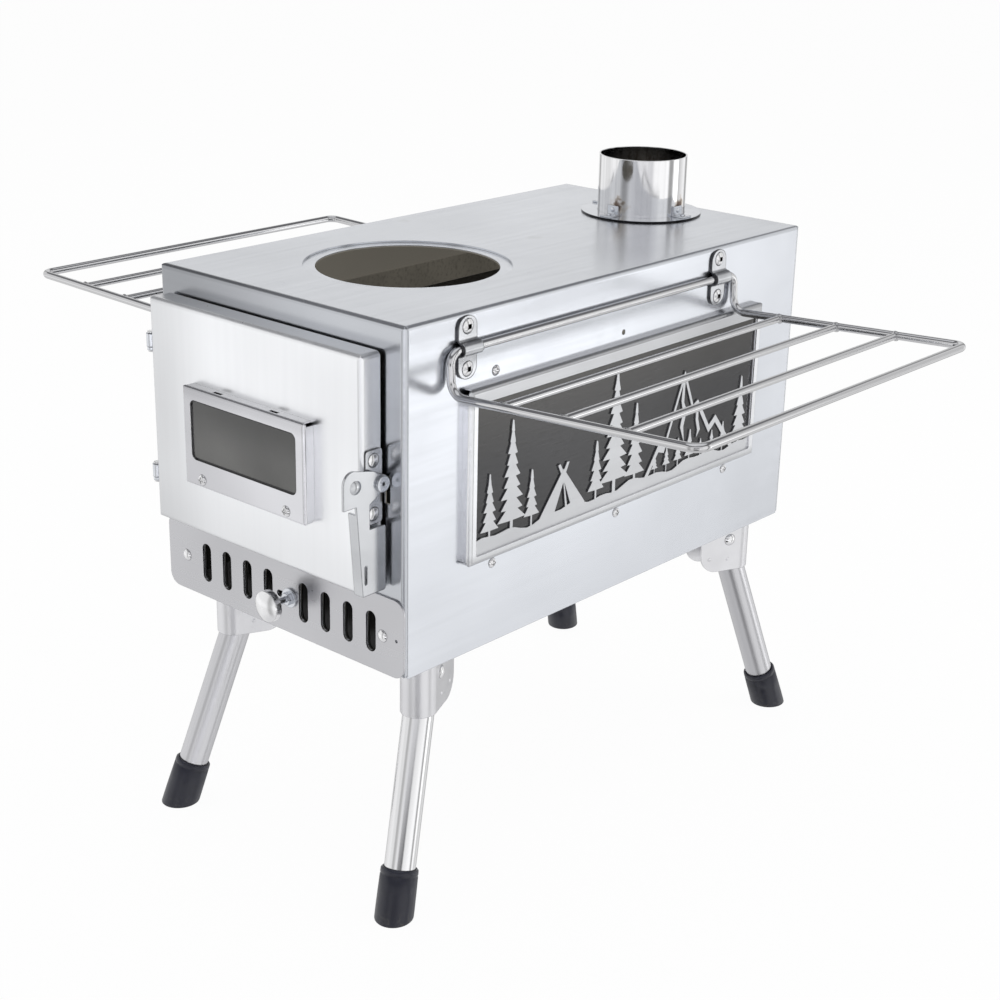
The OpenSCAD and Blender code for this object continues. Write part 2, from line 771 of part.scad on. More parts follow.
module hinge_lugs() {
    color(steel) for (z = hinge_zs) translate([hinge_x, 0, z - 0.2 - lug_t]) {
        difference() {
            union() {
                translate([0, hinge_y, 0]) cylinder(r = lug_r, h = lug_t);
                translate([-lug_r, hinge_y, 0]) cube([2 * lug_r, hinge_out, lug_t]);
            }
            translate([0, hinge_y, -1]) cylinder(r = hinge_pin_r + eps, h = lug_t + 2);
        }
        rotate([0, -90, 0]) translate([0, 0, -sheet / 2]) linear_extrude(sheet)
            polygon([[0, yf], [-9, yf], [0, hinge_y + lug_r + 1]]);
    }
}

module hinge_pins() {
    color(steel) for (z = hinge_zs)
        translate([hinge_x, hinge_y, z - 0.2 - lug_t]) {
            cylinder(r = hinge_pin_r, h = lug_t + barrel_h + 0.6);
            translate([0, 0, lug_t + barrel_h + 0.4]) cylinder(r = hinge_pin_r + 0.7, h = 1);
            translate([0, 0, -1]) cylinder(r = hinge_pin_r + 0.7, h = 1);
        }
}

module door_barrels() {
    color(steel) for (z = hinge_zs) translate([hinge_x, hinge_y, z]) difference() {
        union() {
            cylinder(r = barrel_r, h = barrel_h);
            translate([barrel_r - sheet, 0, 0]) cube([sheet, hinge_out - door_gap - 2, barrel_h]);
        }
        translate([0, 0, -1]) cylinder(r = hinge_pin_r + run_gap, h = barrel_h + 2);
    }
}

// ---------- door latch ----------

module latch_plate() {
    d = door_d - 2;
    color(steel) difference() {
        on_side(door_right, sheet) {
            translate([door_back - d / 2, latch_zc - 2]) round_rect(d, latch_plate_h, 2);
            translate([latch_y, latch_zc]) circle(latch_ring_r);
        }
        for (z = [-1, 1])
            translate([door_right - 1, latch_rivet_y, latch_zc - 2 + z * latch_rivet_pitch / 2])
                rotate([0, 90, 0]) cylinder(r = rivet_r + eps, h = sheet + 2);
        translate([door_right - 1, latch_y, latch_zc])
            rotate([0, 90, 0]) cylinder(r = latch_pin_r + eps, h = sheet + 2);
    }
}

module latch_rivets() {
    color(steel) for (z = [-1, 1])
        translate([latch_x0, latch_rivet_y, latch_zc - 2 + z * latch_rivet_pitch / 2]) rotate([0, 90, 0]) {
            dome(4.2, 1.0);
            translate([0, 0, -2 * sheet]) cylinder(r = rivet_r, h = 2 * sheet + 0.2);
            translate([0, 0, -2 * sheet - 0.8]) cylinder(r = 3, h = 0.8);
        }
}

module latch_pivot() {
    color(steel) translate([door_right, latch_y, latch_zc]) rotate([0, 90, 0]) difference() {
        union() {
            cylinder(r = latch_pin_r, h = lever_x0 - door_right + lever_t + 0.2);
            translate([0, 0, sheet]) cylinder(r = latch_ring_r, h = lever_x0 - latch_x0 - 0.1);
            translate([0, 0, lever_x0 - door_right + lever_t + 0.1]) cylinder(r = latch_ring_r, h = 1.6);
        }
        translate([0, 0, -1]) cylinder(r = 1, h = 12);
    }
}

// A lever with an ear above, a tongue behind the pivot and a long handle with a folded front below.
module latch_lever() {
    r = 7;
    top = 12;
    ear_low = top - latch_ear_h;
    side_top = -2 - latch_plate_h / 2 - 1;
    side_back = latch_out - door_gap - 0.2;
    front = [[handle_front(ear_low - 5), ear_low - 5], [handle_front(-handle_l), -handle_l]];
    color(steel) difference() {
        union() {
            on_side(lever_x0, lever_t) translate([latch_y, latch_zc]) difference() {
                union() {
                    circle(latch_ring_r + 0.6);
                    translate([r - latch_reach, top - r]) circle(r);
                    polygon([
                        [r - latch_reach, top], [-6, 8.5], [0, latch_ring_r + 0.6], [0, -latch_ring_r - 0.6],
                        [-9, ear_low - 1], [-9, side_top], [side_back - 1, side_top],
                        [side_back, side_top - 1], [side_back, 1 - handle_l],
                        [side_back - 1, -handle_l], front[1], front[0],
                        [handle_front(ear_low), ear_low], [-latch_reach, ear_low], [-latch_reach, top - r]
                    ]);
                    translate([0, -tongue_h / 2]) square([tongue_l, tongue_h]);
                }
                translate([handle_front(-handle_l + 12) + 3.3, -handle_l + 12.3])
                    slot(1.9, handle_slot_l);
            }
            on_side(lever_x0 + lever_t - handle_w, handle_w - lever_t + 0.1)
                translate([latch_y, latch_zc]) polygon([
                    front[0], front[1], front[1] + [lever_t, 0], front[0] + [lever_t, 0]
                ]);
            translate([lever_x0 + lever_t, latch_y - 19.5, latch_zc + 2.5]) rotate([0, 90, 0]) dome(4, 1.4);
        }
        translate([lever_x0 - 1, latch_y, latch_zc]) rotate([0, 90, 0])
            cylinder(r = latch_pin_r + run_gap, h = lever_t + 2);
    }
}

// How far the front of the latch handle lies from the pivot at a height below it.
function handle_front(z) = -19.8 - 0.085 * z;

// ---------- side windows ----------

// The height of the upper (1) or lower (-1) row of window screws.
function win_screw_z(row) = win_zc + row * (win_h / 2 + win_screw_out);

module at_window_screws() {
    for (y = [-1, 1], row = [-1, 1])
        translate([win_yc + y * win_screw_w / 2, win_screw_z(row)]) children();
    translate([win_yc, win_screw_z(-1)]) children();
}

module window_frame(side) {
    relief = 3;
    color(steel) to_side(side) difference() {
        translate([win_x, win_yc, win_zc]) rotate([0, 0, 90]) pan(win_w, win_h, win_proud, win_fold);
        on_side(xr - 1, win_proud + 2) translate([win_yc, pane_z]) round_rect(pane_w, pane_h, 1.5);
        for (y = [-1, 1], z = [-1, 1])
            translate([xr, win_yc + y * win_w / 2, win_zc + z * win_h / 2])
                cube([2 * (win_proud - 2), 2 * relief, 2 * relief], center = true);
    }
}

// One conifer with drooping tiers of branches, standing at the origin.
module conifer(h, w, tiers) {
    trunk = 0.05 * h + 0.3 * ground_h;
    root = ground_h / 2;
    step = (h - trunk) / tiers;
    reach = [for (i = [0 : tiers - 1]) w / 2 * (1 - i / tiers) * (i % 2 == 0 ? 1 : 0.86)];
    right = [for (i = [0 : tiers - 1], inner = [0, 1]) inner == 0 ? [reach[i], trunk + step * i]
        : [0.42 * reach[i], trunk + step * (i + 0.85) + 0.08 * h / tiers]];
    left = [for (i = [len(right) - 1 : -1 : 0]) [-right[i][0], right[i][1] + 0.1 * step]];
    polygon(concat([[0.05 * w, -root]], [[0.05 * w, trunk]], right, [[0, h]], left,
        [[-0.05 * w, trunk]], [[-0.05 * w, -root]]));
}

// A small ridge tent with crossed poles and an open door.
module little_tent(h) {
    difference() {
        union() {
            polygon([[-0.8 * h, 0], [-0.8 * h, -ground_h / 2], [0.8 * h, -ground_h / 2], [0.8 * h, 0], [0, h]]);
            for (m = [0, 1]) mirror([m, 0])
                polygon([
                    [-0.05 * h, 0.85 * h], [0.07 * h, 0.85 * h], [0.2 * h, 1.12 * h], [0.12 * h, 1.14 * h]
                ]);
        }
        polygon([[-0.28 * h, 0.02 * h], [0.1 * h, 0.02 * h], [0, 0.66 * h]]);
        polygon([[0.17 * h, 0.02 * h], [0.3 * h, 0.02 * h], [0.04 * h, 0.66 * h]]);
    }
}

// A mountain ridge drawn as a band, with two gullies running down from its peaks.
module ridge(w, h) {
    line = [
        [0, -2], [0.15 * w, 0.3 * h], [0.21 * w, 0.27 * h], [0.4 * w, h], [0.51 * w, 0.6 * h],
        [0.56 * w, 0.64 * h], [0.7 * w, 0.31 * h], [0.77 * w, 0.4 * h], [w, -2]
    ];
    difference() {
        polygon(line);
        translate([0, -0.085 * h]) polygon(line);
    }
    polygon([
        [0.39 * w, 0.97 * h], [0.41 * w, 0.97 * h], [0.405 * w, 0.66 * h], [0.44 * w, 0.56 * h],
        [0.41 * w, 0.4 * h], [0.425 * w, 0.22 * h], [0.375 * w, 0.4 * h], [0.4 * w, 0.55 * h],
        [0.375 * w, 0.68 * h]
    ]);
    polygon([
        [0.55 * w, 0.61 * h], [0.57 * w, 0.6 * h], [0.575 * w, 0.42 * h], [0.6 * w, 0.3 * h],
        [0.56 * w, 0.22 * h], [0.57 * w, 0.3 * h], [0.545 * w, 0.42 * h]
    ]);
}

// The picture of the cut-out plate: rolling ground, conifers, a tent and a mountain ridge.
module scenery() {
    w = pane_w;
    g = ground_h;
    polygon(concat([[w, 0], [0, 0]], [for (i = [0 : 48])
        [i / 48 * w, g + 0.2 * g * sin(i * 31) + 0.14 * g * sin(i * 73 + 40)]]));
    translate([0.045 * w, g]) conifer(0.5 * tree_h, 0.2 * tree_h, 6);
    translate([0.115 * w, g]) conifer(0.86 * tree_h, 0.32 * tree_h, 9);
    translate([0.18 * w, g]) conifer(0.42 * tree_h, 0.18 * tree_h, 5);
    translate([0.285 * w, g]) little_tent(tent_h);
    translate([0.4 * w, g]) conifer(0.46 * tree_h, 0.2 * tree_h, 5);
    translate([0.465 * w, g]) conifer(tree_h, 0.38 * tree_h, 10);
    translate([0.54 * w, g]) conifer(0.66 * tree_h, 0.26 * tree_h, 7);
    translate([0.575 * w, g]) ridge(0.36 * w, peak_h);
    for (i = [0 : 6])
        translate([(0.617 + 0.045 * i) * w, g]) conifer(12 + 3 * ((i * 5) % 4), 7 + (i * 5) % 4, 4);
    translate([0.955 * w, g]) conifer(0.58 * tree_h, 0.24 * tree_h, 6);
}

module silhouette(side) {
    color("gainsboro") to_side(side) on_side(win_x - sheet - scene_t, scene_t) translate([win_yc, pane_z]) {
        difference() {
            round_rect(pane_w + 2 * pane_lap, pane_h + 2 * pane_lap, 2);
            round_rect(pane_w - 1, pane_h - 1, 1);
        }
        intersection() {
            round_rect(pane_w, pane_h, 1);
            translate([-pane_w / 2, -pane_h / 2]) scenery();
        }
    }
}

module side_glass(side) {
    color("darkslategray", 0.6) to_side(side)
        on_side(win_x - sheet - scene_t - side_glass_t, side_glass_t) translate([win_yc, pane_z])
            round_rect(pane_w + 2 * pane_lap, pane_h + 2 * pane_lap, 2);
}

module window_gaskets() {
    color("black") for (side = [-1, 1]) to_side(side) on_side(xr, gasket_t)
        translate([win_yc, pane_z]) difference() {
            round_rect(pane_w + 2 * pane_lap, pane_h + 2 * pane_lap, 2);
            round_rect(pane_w + 1, pane_h + 1, 1);
        }
}

// A ring plate inside each side wall takes the screws and stiffens the window's edge.
module window_retainers() {
    margin = 2.8;
    color(dark) for (side = [-1, 1]) to_side(side) on_side(xi - sheet, sheet) difference() {
        translate([win_yc, win_zc])
            round_rect(win_w, win_h + 2 * (win_screw_out + margin), 3);
        translate([win_yc, pane_z]) round_rect(pane_w + 1, pane_h + 1, 2);
        at_window_screws() circle(screw_hole_r);
    }
}

module window_screws() {
    color(steel) for (side = [-1, 1]) to_side(side) {
        for (y = [-1, 1], row = [-1, 1])
            translate([xr, win_yc + y * win_screw_w / 2, win_screw_z(row)]) rotate([0, 90, 0])
                screw(3.2, screw_r, 2 * sheet + screw_in);
        translate([xr, win_yc, win_screw_z(-1)]) rotate([0, 90, 0])
            screw(3.2, screw_r, 2 * sheet + screw_in);
    }
}

// ---------- shelves ----------

function saddle_ys() = [yf + saddle_front, yf + saddle_front + saddle_pitch];

// The hump of a saddle seen along the rod: a round top and two straight slopes down to the wall.
module hump(r, foot) {
    x = rod_x - xr;
    reach = sqrt(x * x + foot * foot);
    a = atan2(foot, x) - acos(r / reach);
    translate([rod_x, 0]) {
        circle(r);
        polygon([
            [-x - 1, -foot], [-x, -foot], [0.999 * r * cos(a), -0.999 * r * sin(a)],
            [0.999 * r * cos(a), 0.999 * r * sin(a)], [-x, foot], [-x - 1, foot]
        ]);
    }
}

// A drawing of (x, z) along the rod, as wide as a saddle.
module along_rod(w) {
    translate([0, w / 2, 0]) rotate([90, 0, 0]) linear_extrude(w) children();
}

// A strap plate with a saddle that the shelf's hinge rod turns in.
module saddles(side) {
    outer = rod_r_gap + saddle_t;
    foot = outer + saddle_slope;
    color(steel) to_side(side) for (y = saddle_ys()) translate([0, y, rod_zc]) difference() {
        union() {
            on_side(xr, saddle_t) round_rect(saddle_w, saddle_h, saddle_w / 2 - 0.5);
            along_rod(saddle_w) hump(outer, foot);
        }
        translate([xr - 2 * outer, -saddle_w, -2 * outer]) cube([2 * outer, 2 * saddle_w, 4 * outer]);
        along_rod(2 * saddle_w) hump(rod_r_gap, foot - saddle_t);
        for (z = [-1, 1]) translate([xr - 1, 0, z * saddle_rivet_pitch / 2])
            rotate([0, 90, 0]) cylinder(r = rivet_r + eps, h = 6);
    }
}

module saddle_rivets() {
    color(steel) for (side = [-1, 1]) to_side(side) for (y = saddle_ys(), z = [-1, 1])
        translate([xr + saddle_t, y, rod_zc + z * saddle_rivet_pitch / 2]) rotate([0, 90, 0])
            difference() {
                union() {
                    dome(4.6, 1.6);
                    translate([0, 0, -saddle_t - sheet]) cylinder(r = rivet_r, h = saddle_t + sheet + 0.2);
                    translate([0, 0, -saddle_t - sheet - 1]) cylinder(r = 3, h = 1);
                }
                translate([0, 0, -1]) cylinder(r = 1.2, h = 4);
            }
}

// A quarter bend of the wire, starting at +X and turning towards +Y.
module wire_bend(r) {
    rotate_extrude(angle = 90) translate([r, 0]) circle(wire_r, $fn = 32);
}

// The shelf's frame is one bent loop: hinge rod, two drops, two arms and the outer bar.
module shelf_wire() {
    a = shelf_w / 2;
    c = corner_r;
    rotate([90, 0, 0]) translate([0, 0, -a + c]) cylinder(r = wire_r, h = 2 * (a - c), $fn = 32);
    for (m = [0, 1]) mirror([0, m, 0]) {
        translate([0, -a + c, -c]) rotate([90, 0, -90]) wire_bend(c);
        translate([0, -a, -shelf_drop + heel_r])
            cylinder(r = wire_r, h = shelf_drop - heel_r - c, $fn = 32);
        translate([heel_r, -a, -shelf_drop + heel_r]) rotate([90, 0, 0]) rotate([0, 0, 180])
            wire_bend(heel_r);
        translate([heel_r, -a, -shelf_drop]) rotate([0, 90, 0])
            cylinder(r = wire_r, h = shelf_l - heel_r - c, $fn = 32);
        translate([shelf_l - c, -a + c, -shelf_drop]) rotate([0, 0, -90]) wire_bend(c);
    }
    translate([shelf_l, a - c, -shelf_drop]) rotate([90, 0, 0])
        cylinder(r = wire_r, h = 2 * (a - c), $fn = 32);
}

// Puts a shelf in its saddles, turned up about the rod until its heels rest on the window frame.
module at_rod(side, rise) {
    to_side(side) translate([rod_x, saddle_mid, rod_zc]) rotate([0, -rise, 0]) children();
}

module shelf_bars() {
    a = shelf_w / 2;
    translate([0, 0, -shelf_drop]) difference() {
        for (i = [0 : 2]) translate([bar_first + i * bar_pitch, a, 0]) rotate([90, 0, 0])
            cylinder(r = bar_r, h = 2 * a, $fn = 32);
        for (y = [-a, a]) translate([0, y, 0]) rotate([0, 90, 0])
            cylinder(r = wire_r + eps, h = shelf_l, $fn = 32);
        for (y = [-1, 1]) translate([0, y * (a + 5) - 5, -5]) cube([shelf_l, 10, 10]);
    }
}

// ---------- legs ----------

// Places a leg's parts: nose towards the corner, origin on the pivot.
module at_leg(sx, sy) {
    y = sy < 0 ? yf + leg_front : yr - leg_rear;
    translate([sx * leg_x, y, pivot_z]) mirror([sx < 0 ? 1 : 0, 0, 0]) mirror([0, sy > 0 ? 1 : 0, 0])
        rotate([0, 0, leg_turn]) children();
}

// The bracket's plan: a round nose and two straight cheeks.
module bracket_plan(r) {
    translate([0, -nose_y]) circle(r);
    translate([-r, -nose_y]) square([2 * r, nose_y + bracket_back]);
}

module bracket(sx, sy) {
    z0 = pivot_drop - bracket_h;
    cut = 13;
    half = cheek + sheet + 1;
    color(steel) at_leg(sx, sy) {
        difference() {
            translate([0, 0, z0]) linear_extrude(bracket_h) bracket_plan(cheek + sheet);
            translate([0, 0, z0 - 1]) linear_extrude(bracket_h + 1 - sheet) {
                bracket_plan(cheek);
                translate([-cheek, 0]) square([2 * cheek, bracket_back + 1]);
            }
            difference() {
                translate([-half, bracket_back - cut, z0 - 1]) cube([2 * half, cut + 1, cut + 1]);
                translate([-half - 1, bracket_back - cut, z0 + cut]) rotate([0, 90, 0])
                    cylinder(r = cut, h = 2 * half + 2);
            }
            translate([-half, 0, 0]) rotate([0, 90, 0]) cylinder(r = pivot_r + eps, h = 2 * half);
        }
        for (s = [-1, 1], p = [[1, -14.5], [15.8, -13]])
            translate([s * (cheek + sheet - 0.1), p[0], p[1]]) rotate([0, s * 90, 0]) dome(1.5, 0.5);
    }
}

module leg_pivots() {
    half = cheek + sheet;
    color(steel) for (sx = [-1, 1], sy = [-1, 1]) at_leg(sx, sy) {
        translate([-half, 0, 0]) rotate([0, 90, 0]) cylinder(r = pivot_r, h = 2 * half);
        for (s = [-1, 1]) translate([s * half, 0, 0]) rotate([0, s * 90, 0]) dome(pivot_head_r, rivet_head_h);
    }
}

module leg_tube(sx, sy) {
    top = 5;
    bottom = leg_len - 6;
    color(steel) at_leg(sx, sy) rotate([-leg_lean, 0, 0]) difference() {
        translate([0, 0, -bottom]) cylinder(r = tube_r, h = top + bottom);
        translate([0, 0, -bottom - 1]) cylinder(r = tube_r - tube_t, h = top + bottom + 2);
        translate([-cheek, 0, 0]) rotate([0, 90, 0]) cylinder(r = pivot_r + run_gap, h = 2 * cheek);
    }
}

module foot_cap(sx, sy) {
    color("black") at_leg(sx, sy) difference() {
        rotate([-leg_lean, 0, 0]) difference() {
            translate([0, 0, -leg_len - 6]) cylinder(r = cap_r, h = cap_l + 6);
            translate([0, 0, -leg_len + 6]) cylinder(r = tube_r + eps, h = cap_l);
        }
        translate([-leg_run, -leg_run, -leg_run - cap_l]) cube([2 * leg_run, 2 * leg_run, cap_l]);
    }
}

body_shell();
front_pan();
rear_pan();
base_pan();
cook_ring();
flue_ring();
flue_collar();
flue_tabs();
smoke_baffle();
fire_grate();
vent_plate();
vent_rivets();
slider_rails();
hinge_lugs();
hinge_pins();
window_frame(1);  // right_window_frame
window_frame(-1);  // left_window_frame
silhouette(1);  // right_silhouette
silhouette(-1);  // left_silhouette
side_glass(1);  // right_glass
side_glass(-1);  // left_glass
window_gaskets();
window_retainers();
window_screws();
saddles(1);  // right_saddles
saddles(-1);  // left_saddles
saddle_rivets();
bracket(1, -1);  // front_right_bracket
bracket(-1, -1);  // front_left_bracket
bracket(1, 1);  // rear_right_bracket
bracket(-1, 1);  // rear_left_bracket
leg_pivots();
door_pan();
door_liner();
door_gasket();
door_glass();
door_glass_gasket();
door_cover();
door_screws();
door_barrels();
latch_plate();
latch_rivets();
latch_pivot();
latch_lever();
air_slider();
air_stud();
air_knob();
color(steel) at_rod(1, rise_right) shelf_wire();  // right_shelf_frame
color(steel) at_rod(1, rise_right) shelf_bars();  // right_shelf_bars
color(steel) at_rod(-1, rise_left) shelf_wire();  // left_shelf_frame
color(steel) at_rod(-1, rise_left) shelf_bars();  // left_shelf_bars
leg_tube(1, -1);  // front_right_tube
leg_tube(-1, -1);  // front_left_tube
leg_tube(1, 1);  // rear_right_tube
leg_tube(-1, 1);  // rear_left_tube
foot_cap(1, -1);  // front_right_cap
foot_cap(-1, -1);  // front_left_cap
foot_cap(1, 1);  // rear_right_cap
foot_cap(-1, 1);  // rear_left_cap
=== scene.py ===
import math

import bmesh
import bpy
from mathutils import Matrix, Vector, noise


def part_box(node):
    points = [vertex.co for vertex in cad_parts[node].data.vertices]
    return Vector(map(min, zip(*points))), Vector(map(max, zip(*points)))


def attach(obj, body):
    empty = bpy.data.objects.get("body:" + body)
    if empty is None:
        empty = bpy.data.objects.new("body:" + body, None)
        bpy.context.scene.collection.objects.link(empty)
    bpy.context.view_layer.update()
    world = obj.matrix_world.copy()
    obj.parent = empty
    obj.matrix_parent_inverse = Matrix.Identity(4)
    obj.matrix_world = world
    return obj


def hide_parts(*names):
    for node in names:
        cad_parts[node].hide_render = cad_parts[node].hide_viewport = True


bl_info = {
    "name": "Tent wood stove",
    "version": (1, 0, 0),
    "blender": (4, 5, 0),
    "location": "3D View > Sidebar > Stove",
    "description": "Finishes, ropes, welds, feet and studio for the tent wood stove",
    "category": "Object",
}

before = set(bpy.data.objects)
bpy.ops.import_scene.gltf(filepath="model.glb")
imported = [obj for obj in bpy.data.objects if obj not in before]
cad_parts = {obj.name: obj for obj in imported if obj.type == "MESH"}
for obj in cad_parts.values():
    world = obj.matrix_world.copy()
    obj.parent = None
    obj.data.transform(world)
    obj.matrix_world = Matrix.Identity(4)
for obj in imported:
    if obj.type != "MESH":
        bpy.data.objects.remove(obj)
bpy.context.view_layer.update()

LEG_NAMES = ("front_right", "front_left", "rear_right", "rear_left")
# Places in the CAD frame, in metres and degrees.
LEG_PIVOT_X, LEG_PIVOT_Z = 0.0791, 0.140
LEG_PIVOT_FRONT, LEG_PIVOT_REAR = -0.1433, 0.1588
LEG_LEAN, LEG_TURN = 19.4, 24.0
SHELF_ROD = (0.10468, -0.01825, 0.3393)
SHELF_RISE = {1: 3.5, -1: 1.1}
BAR_HALF, BAR_FIRST, BAR_STEP, BAR_DROP = 0.13265, 0.036, 0.0415, -0.0244
FLUE_Y, FLUE_R = 0.151, 0.030
SADDLE_Y, SADDLE_RIVET_Z = (-0.1355, 0.099), (0.3273, 0.3513)
FIREBOX_MID = Vector((0.0, 0.005, 0.2565))
# Below these heights the firebox's inside is painted near black as painted shade, and above them it shows
# its soot.
PAINTED_SHADE_DEPTH = (0.170, 0.215)
# Brushing directions, as stretches of the noise along x, y and z.
BRUSHED_X, BRUSHED_Y, BRUSHED_Z = (24.0, 700.0, 700.0), (700.0, 24.0, 700.0), (700.0, 700.0, 26.0)
BRUSHED_SMALL, TURNED = (300.0, 300.0, 60.0), (300.0, 300.0, 300.0)
ACROSS, ALONG, UP = (1.0, 0.0, 0.0), (0.0, 1.0, 0.0), (0.0, 0.0, 1.0)
LENS_TURN, LENS_RISE, LENS_ROLL = 41.387, 20.530, 1.226
# The studio's reflected walls are counted from this angle.
FLAGS_TURN = 41.4
LENS_SPOT = (0.749583, -0.839537, 0.608720)


# ---------- settings ----------


def tint(name, description, default):
    """A colour setting."""
    return bpy.props.FloatVectorProperty(
        name=name, description=description, subtype="COLOR", default=default, min=0.0, max=1.0)


def length(name, description, default, low, high):
    """A length setting, in metres."""
    return bpy.props.FloatProperty(
        name=name, description=description, default=default, min=low, max=high, unit="LENGTH")


def power(name, description, default):
    """A lamp's power, in watts."""
    return bpy.props.FloatProperty(
        name=name, description=description, default=default, min=0.0, unit="POWER")


class StoveFinish(bpy.types.PropertyGroup):
    """Colours and roughness of the sheet, tube, wire, glass and rubber."""

    sheet_colour: tint("Sheet", "Satin stainless sheet of the box", (0.66, 0.68, 0.72))
    door_colour: tint("Door", "Brighter sheet of the door pan", (0.87, 0.88, 0.90))
    cover_colour: tint("Cover", "Sheet of the window cover on the door", (0.70, 0.70, 0.73))
    bracket_colour: tint("Brackets", "Pressed sheet of the leg brackets", (0.72, 0.72, 0.74))
    saddle_colour: tint("Saddles and latch", "Duller sheet of the shelf saddles and the latch",
                        (0.56, 0.57, 0.59))
    frame_colour: tint("Window frames", "Folded frames and cut-out plates of the side windows",
                       (0.72, 0.73, 0.75))
    vent_colour: tint("Vent plate", "Duller sheet of the vent plate", (0.53, 0.53, 0.55))
    polish_colour: tint("Polished tube", "Polished collar, front right leg, knob and rivets",
                        (0.80, 0.80, 0.81))
    tube_colour: tint("Satin tube", "Duller tubes of the other three legs", (0.62, 0.62, 0.64))
    soot_colour: tint("Inside", "Heat-darkened steel inside the firebox", (0.31, 0.29, 0.25))
    pane_colour: tint("Side pane", "Dark heat-proof pane behind the cut-outs", (0.034, 0.034, 0.038))
    wire_colour: tint("Wire", "Bright wire of the shelves", (0.64, 0.64, 0.65))
    rubber_colour: tint("Foot rubber", "Black rubber of the foot caps", (0.013, 0.014, 0.025))
    sheet_roughness: bpy.props.FloatProperty(
        name="Sheet roughness", description="Roughness of the satin sheet", default=0.30,
        min=0.05, max=1.0, subtype="FACTOR")
    fold_round: length("Edge round", "Radius to which cut sheet edges are softened", 0.0005, 0.0, 0.003)


class StoveRopes(bpy.types.PropertyGroup):
    """Sizes of the heat-proof ropes behind the door and the panes."""

    door_rope_width: length("Door rope", "Width of the rope round the door opening", 0.0075, 0.004, 0.010)
    pane_tape_width: length("Pane tape", "Width of the woven tape behind the side panes",
                            0.0018, 0.001, 0.0019)
    strand_pitch: length("Braid pitch", "Length of one crossing of the braid", 0.0042, 0.002, 0.010)
    braid_relief: bpy.props.FloatProperty(
        name="Braid relief", description="Depth of the hollows between the strands", default=0.16,
        min=0.0, max=0.4, subtype="FACTOR")


class StoveTrim(bpy.types.PropertyGroup):
    """Sizes of the welds, the collar's seam and the foot caps."""

    weld_flare: length("Weld flare", "How far a weld spreads over the bar that it holds",
                       0.0010, 0.0002, 0.003)
    seam_width: length("Collar seam", "Width of the weld down the back of the flue collar",
                       0.0022, 0.001, 0.005)
    cap_radius: length("Cap radius", "Outside radius of a foot cap", 0.0117, 0.010, 0.013)
    cap_length: length("Cap length", "Length of a foot cap along its leg", 0.030, 0.020, 0.036)


class StoveStudio(bpy.types.PropertyGroup):
    """Camera and light of the studio."""

    lens: bpy.props.FloatProperty(
        name="Lens", description="Focal length on a 36 mm sensor", default=65.342,
        min=20.0, max=200.0, subtype="DISTANCE_CAMERA")
    top_power: power("Overhead", "Power of the overhead softbox", 17.0)
    side_power: power("Rear right", "Power of the softbox behind the right side", 9.0)
    front_power: power("Front left", "Power of the softbox in front of the door", 7.0)
    room: bpy.props.FloatProperty(
        name="Room", description="Brightness of the room on matt surfaces", default=0.52,
        min=0.0, max=2.0)


SETTINGS = {
    "stove_finish": StoveFinish,
    "stove_ropes": StoveRopes,
    "stove_trim": StoveTrim,
    "stove_studio": StoveStudio,
}


# ---------- node helpers ----------


def add(tree, kind, ins=None, **props):
    """Adds a node; ins holds a value or a socket for each input."""
    node = tree.nodes.new(kind)
    for key, value in props.items():
        setattr(node, key, value)
    for key, value in (ins or {}).items():
        if isinstance(value, bpy.types.NodeSocket):
            tree.links.new(value, node.inputs[key])
        else:
            node.inputs[key].default_value = value
    return node


def maths(tree, operation, *values, clamp=False):
    """A Math node's result."""
    node = add(tree, "ShaderNodeMath", dict(enumerate(values)), operation=operation)
    node.use_clamp = clamp
    return node.outputs[0]


def times(tree, one, other):
    """The product of two values."""
    return maths(tree, "MULTIPLY", one, other)


def vectors(tree, operation, *values, out="Vector"):
    """A Vector Math node's result; for SCALE the second value is the scale."""
    slots = (0, 3) if operation == "SCALE" else range(len(values))
    node = add(tree, "ShaderNodeVectorMath", dict(zip(slots, values)), operation=operation)
    return node.outputs[out]


def dot(tree, one, other):
    """How far one vector goes along the other."""
    return vectors(tree, "DOT_PRODUCT", one, other, out="Value")


def ranged(tree, value, low, high, to_low=0.0, to_high=1.0, kind="LINEAR"):
    """value, taken from low..high to to_low..to_high and held there."""
    return add(tree, "ShaderNodeMapRange", {
        "Value": value, "From Min": low, "From Max": high, "To Min": to_low, "To Max": to_high},
        interpolation_type=kind).outputs["Result"]


def eased(tree, value, low, high):
    """value, taken from low..high to 0..1 with soft ends."""
    return ranged(tree, value, low, high, kind="SMOOTHSTEP")


def blended(tree, factor, first, second):
    """A colour mixed from two by factor."""
    return add(tree, "ShaderNodeMix", {0: factor, 6: first, 7: second}, data_type="RGBA").outputs[2]


def rgba(colour, gain=1.0):
    """A colour with alpha, made lighter or darker by gain."""
    return tuple(min(1.0, c * gain) for c in colour) + (1.0,)


SOCKETS = {"value": "NodeSocketFloat", "vector": "NodeSocketVector", "colour": "NodeSocketColor"}


def group(name, ins, outs):
    """A shader group with named sockets, and its input and output nodes."""
    tree = bpy.data.node_groups.new(name, "ShaderNodeTree")
    for label, kind, start in ins:
        socket = tree.interface.new_socket(label, in_out="INPUT", socket_type=SOCKETS[kind])
        if start is not None:
            socket.default_value = start
    for label, kind in outs:
        tree.interface.new_socket(label, in_out="OUTPUT", socket_type=SOCKETS[kind])
    return tree, tree.nodes.new("NodeGroupInput").outputs, tree.nodes.new("NodeGroupOutput").inputs


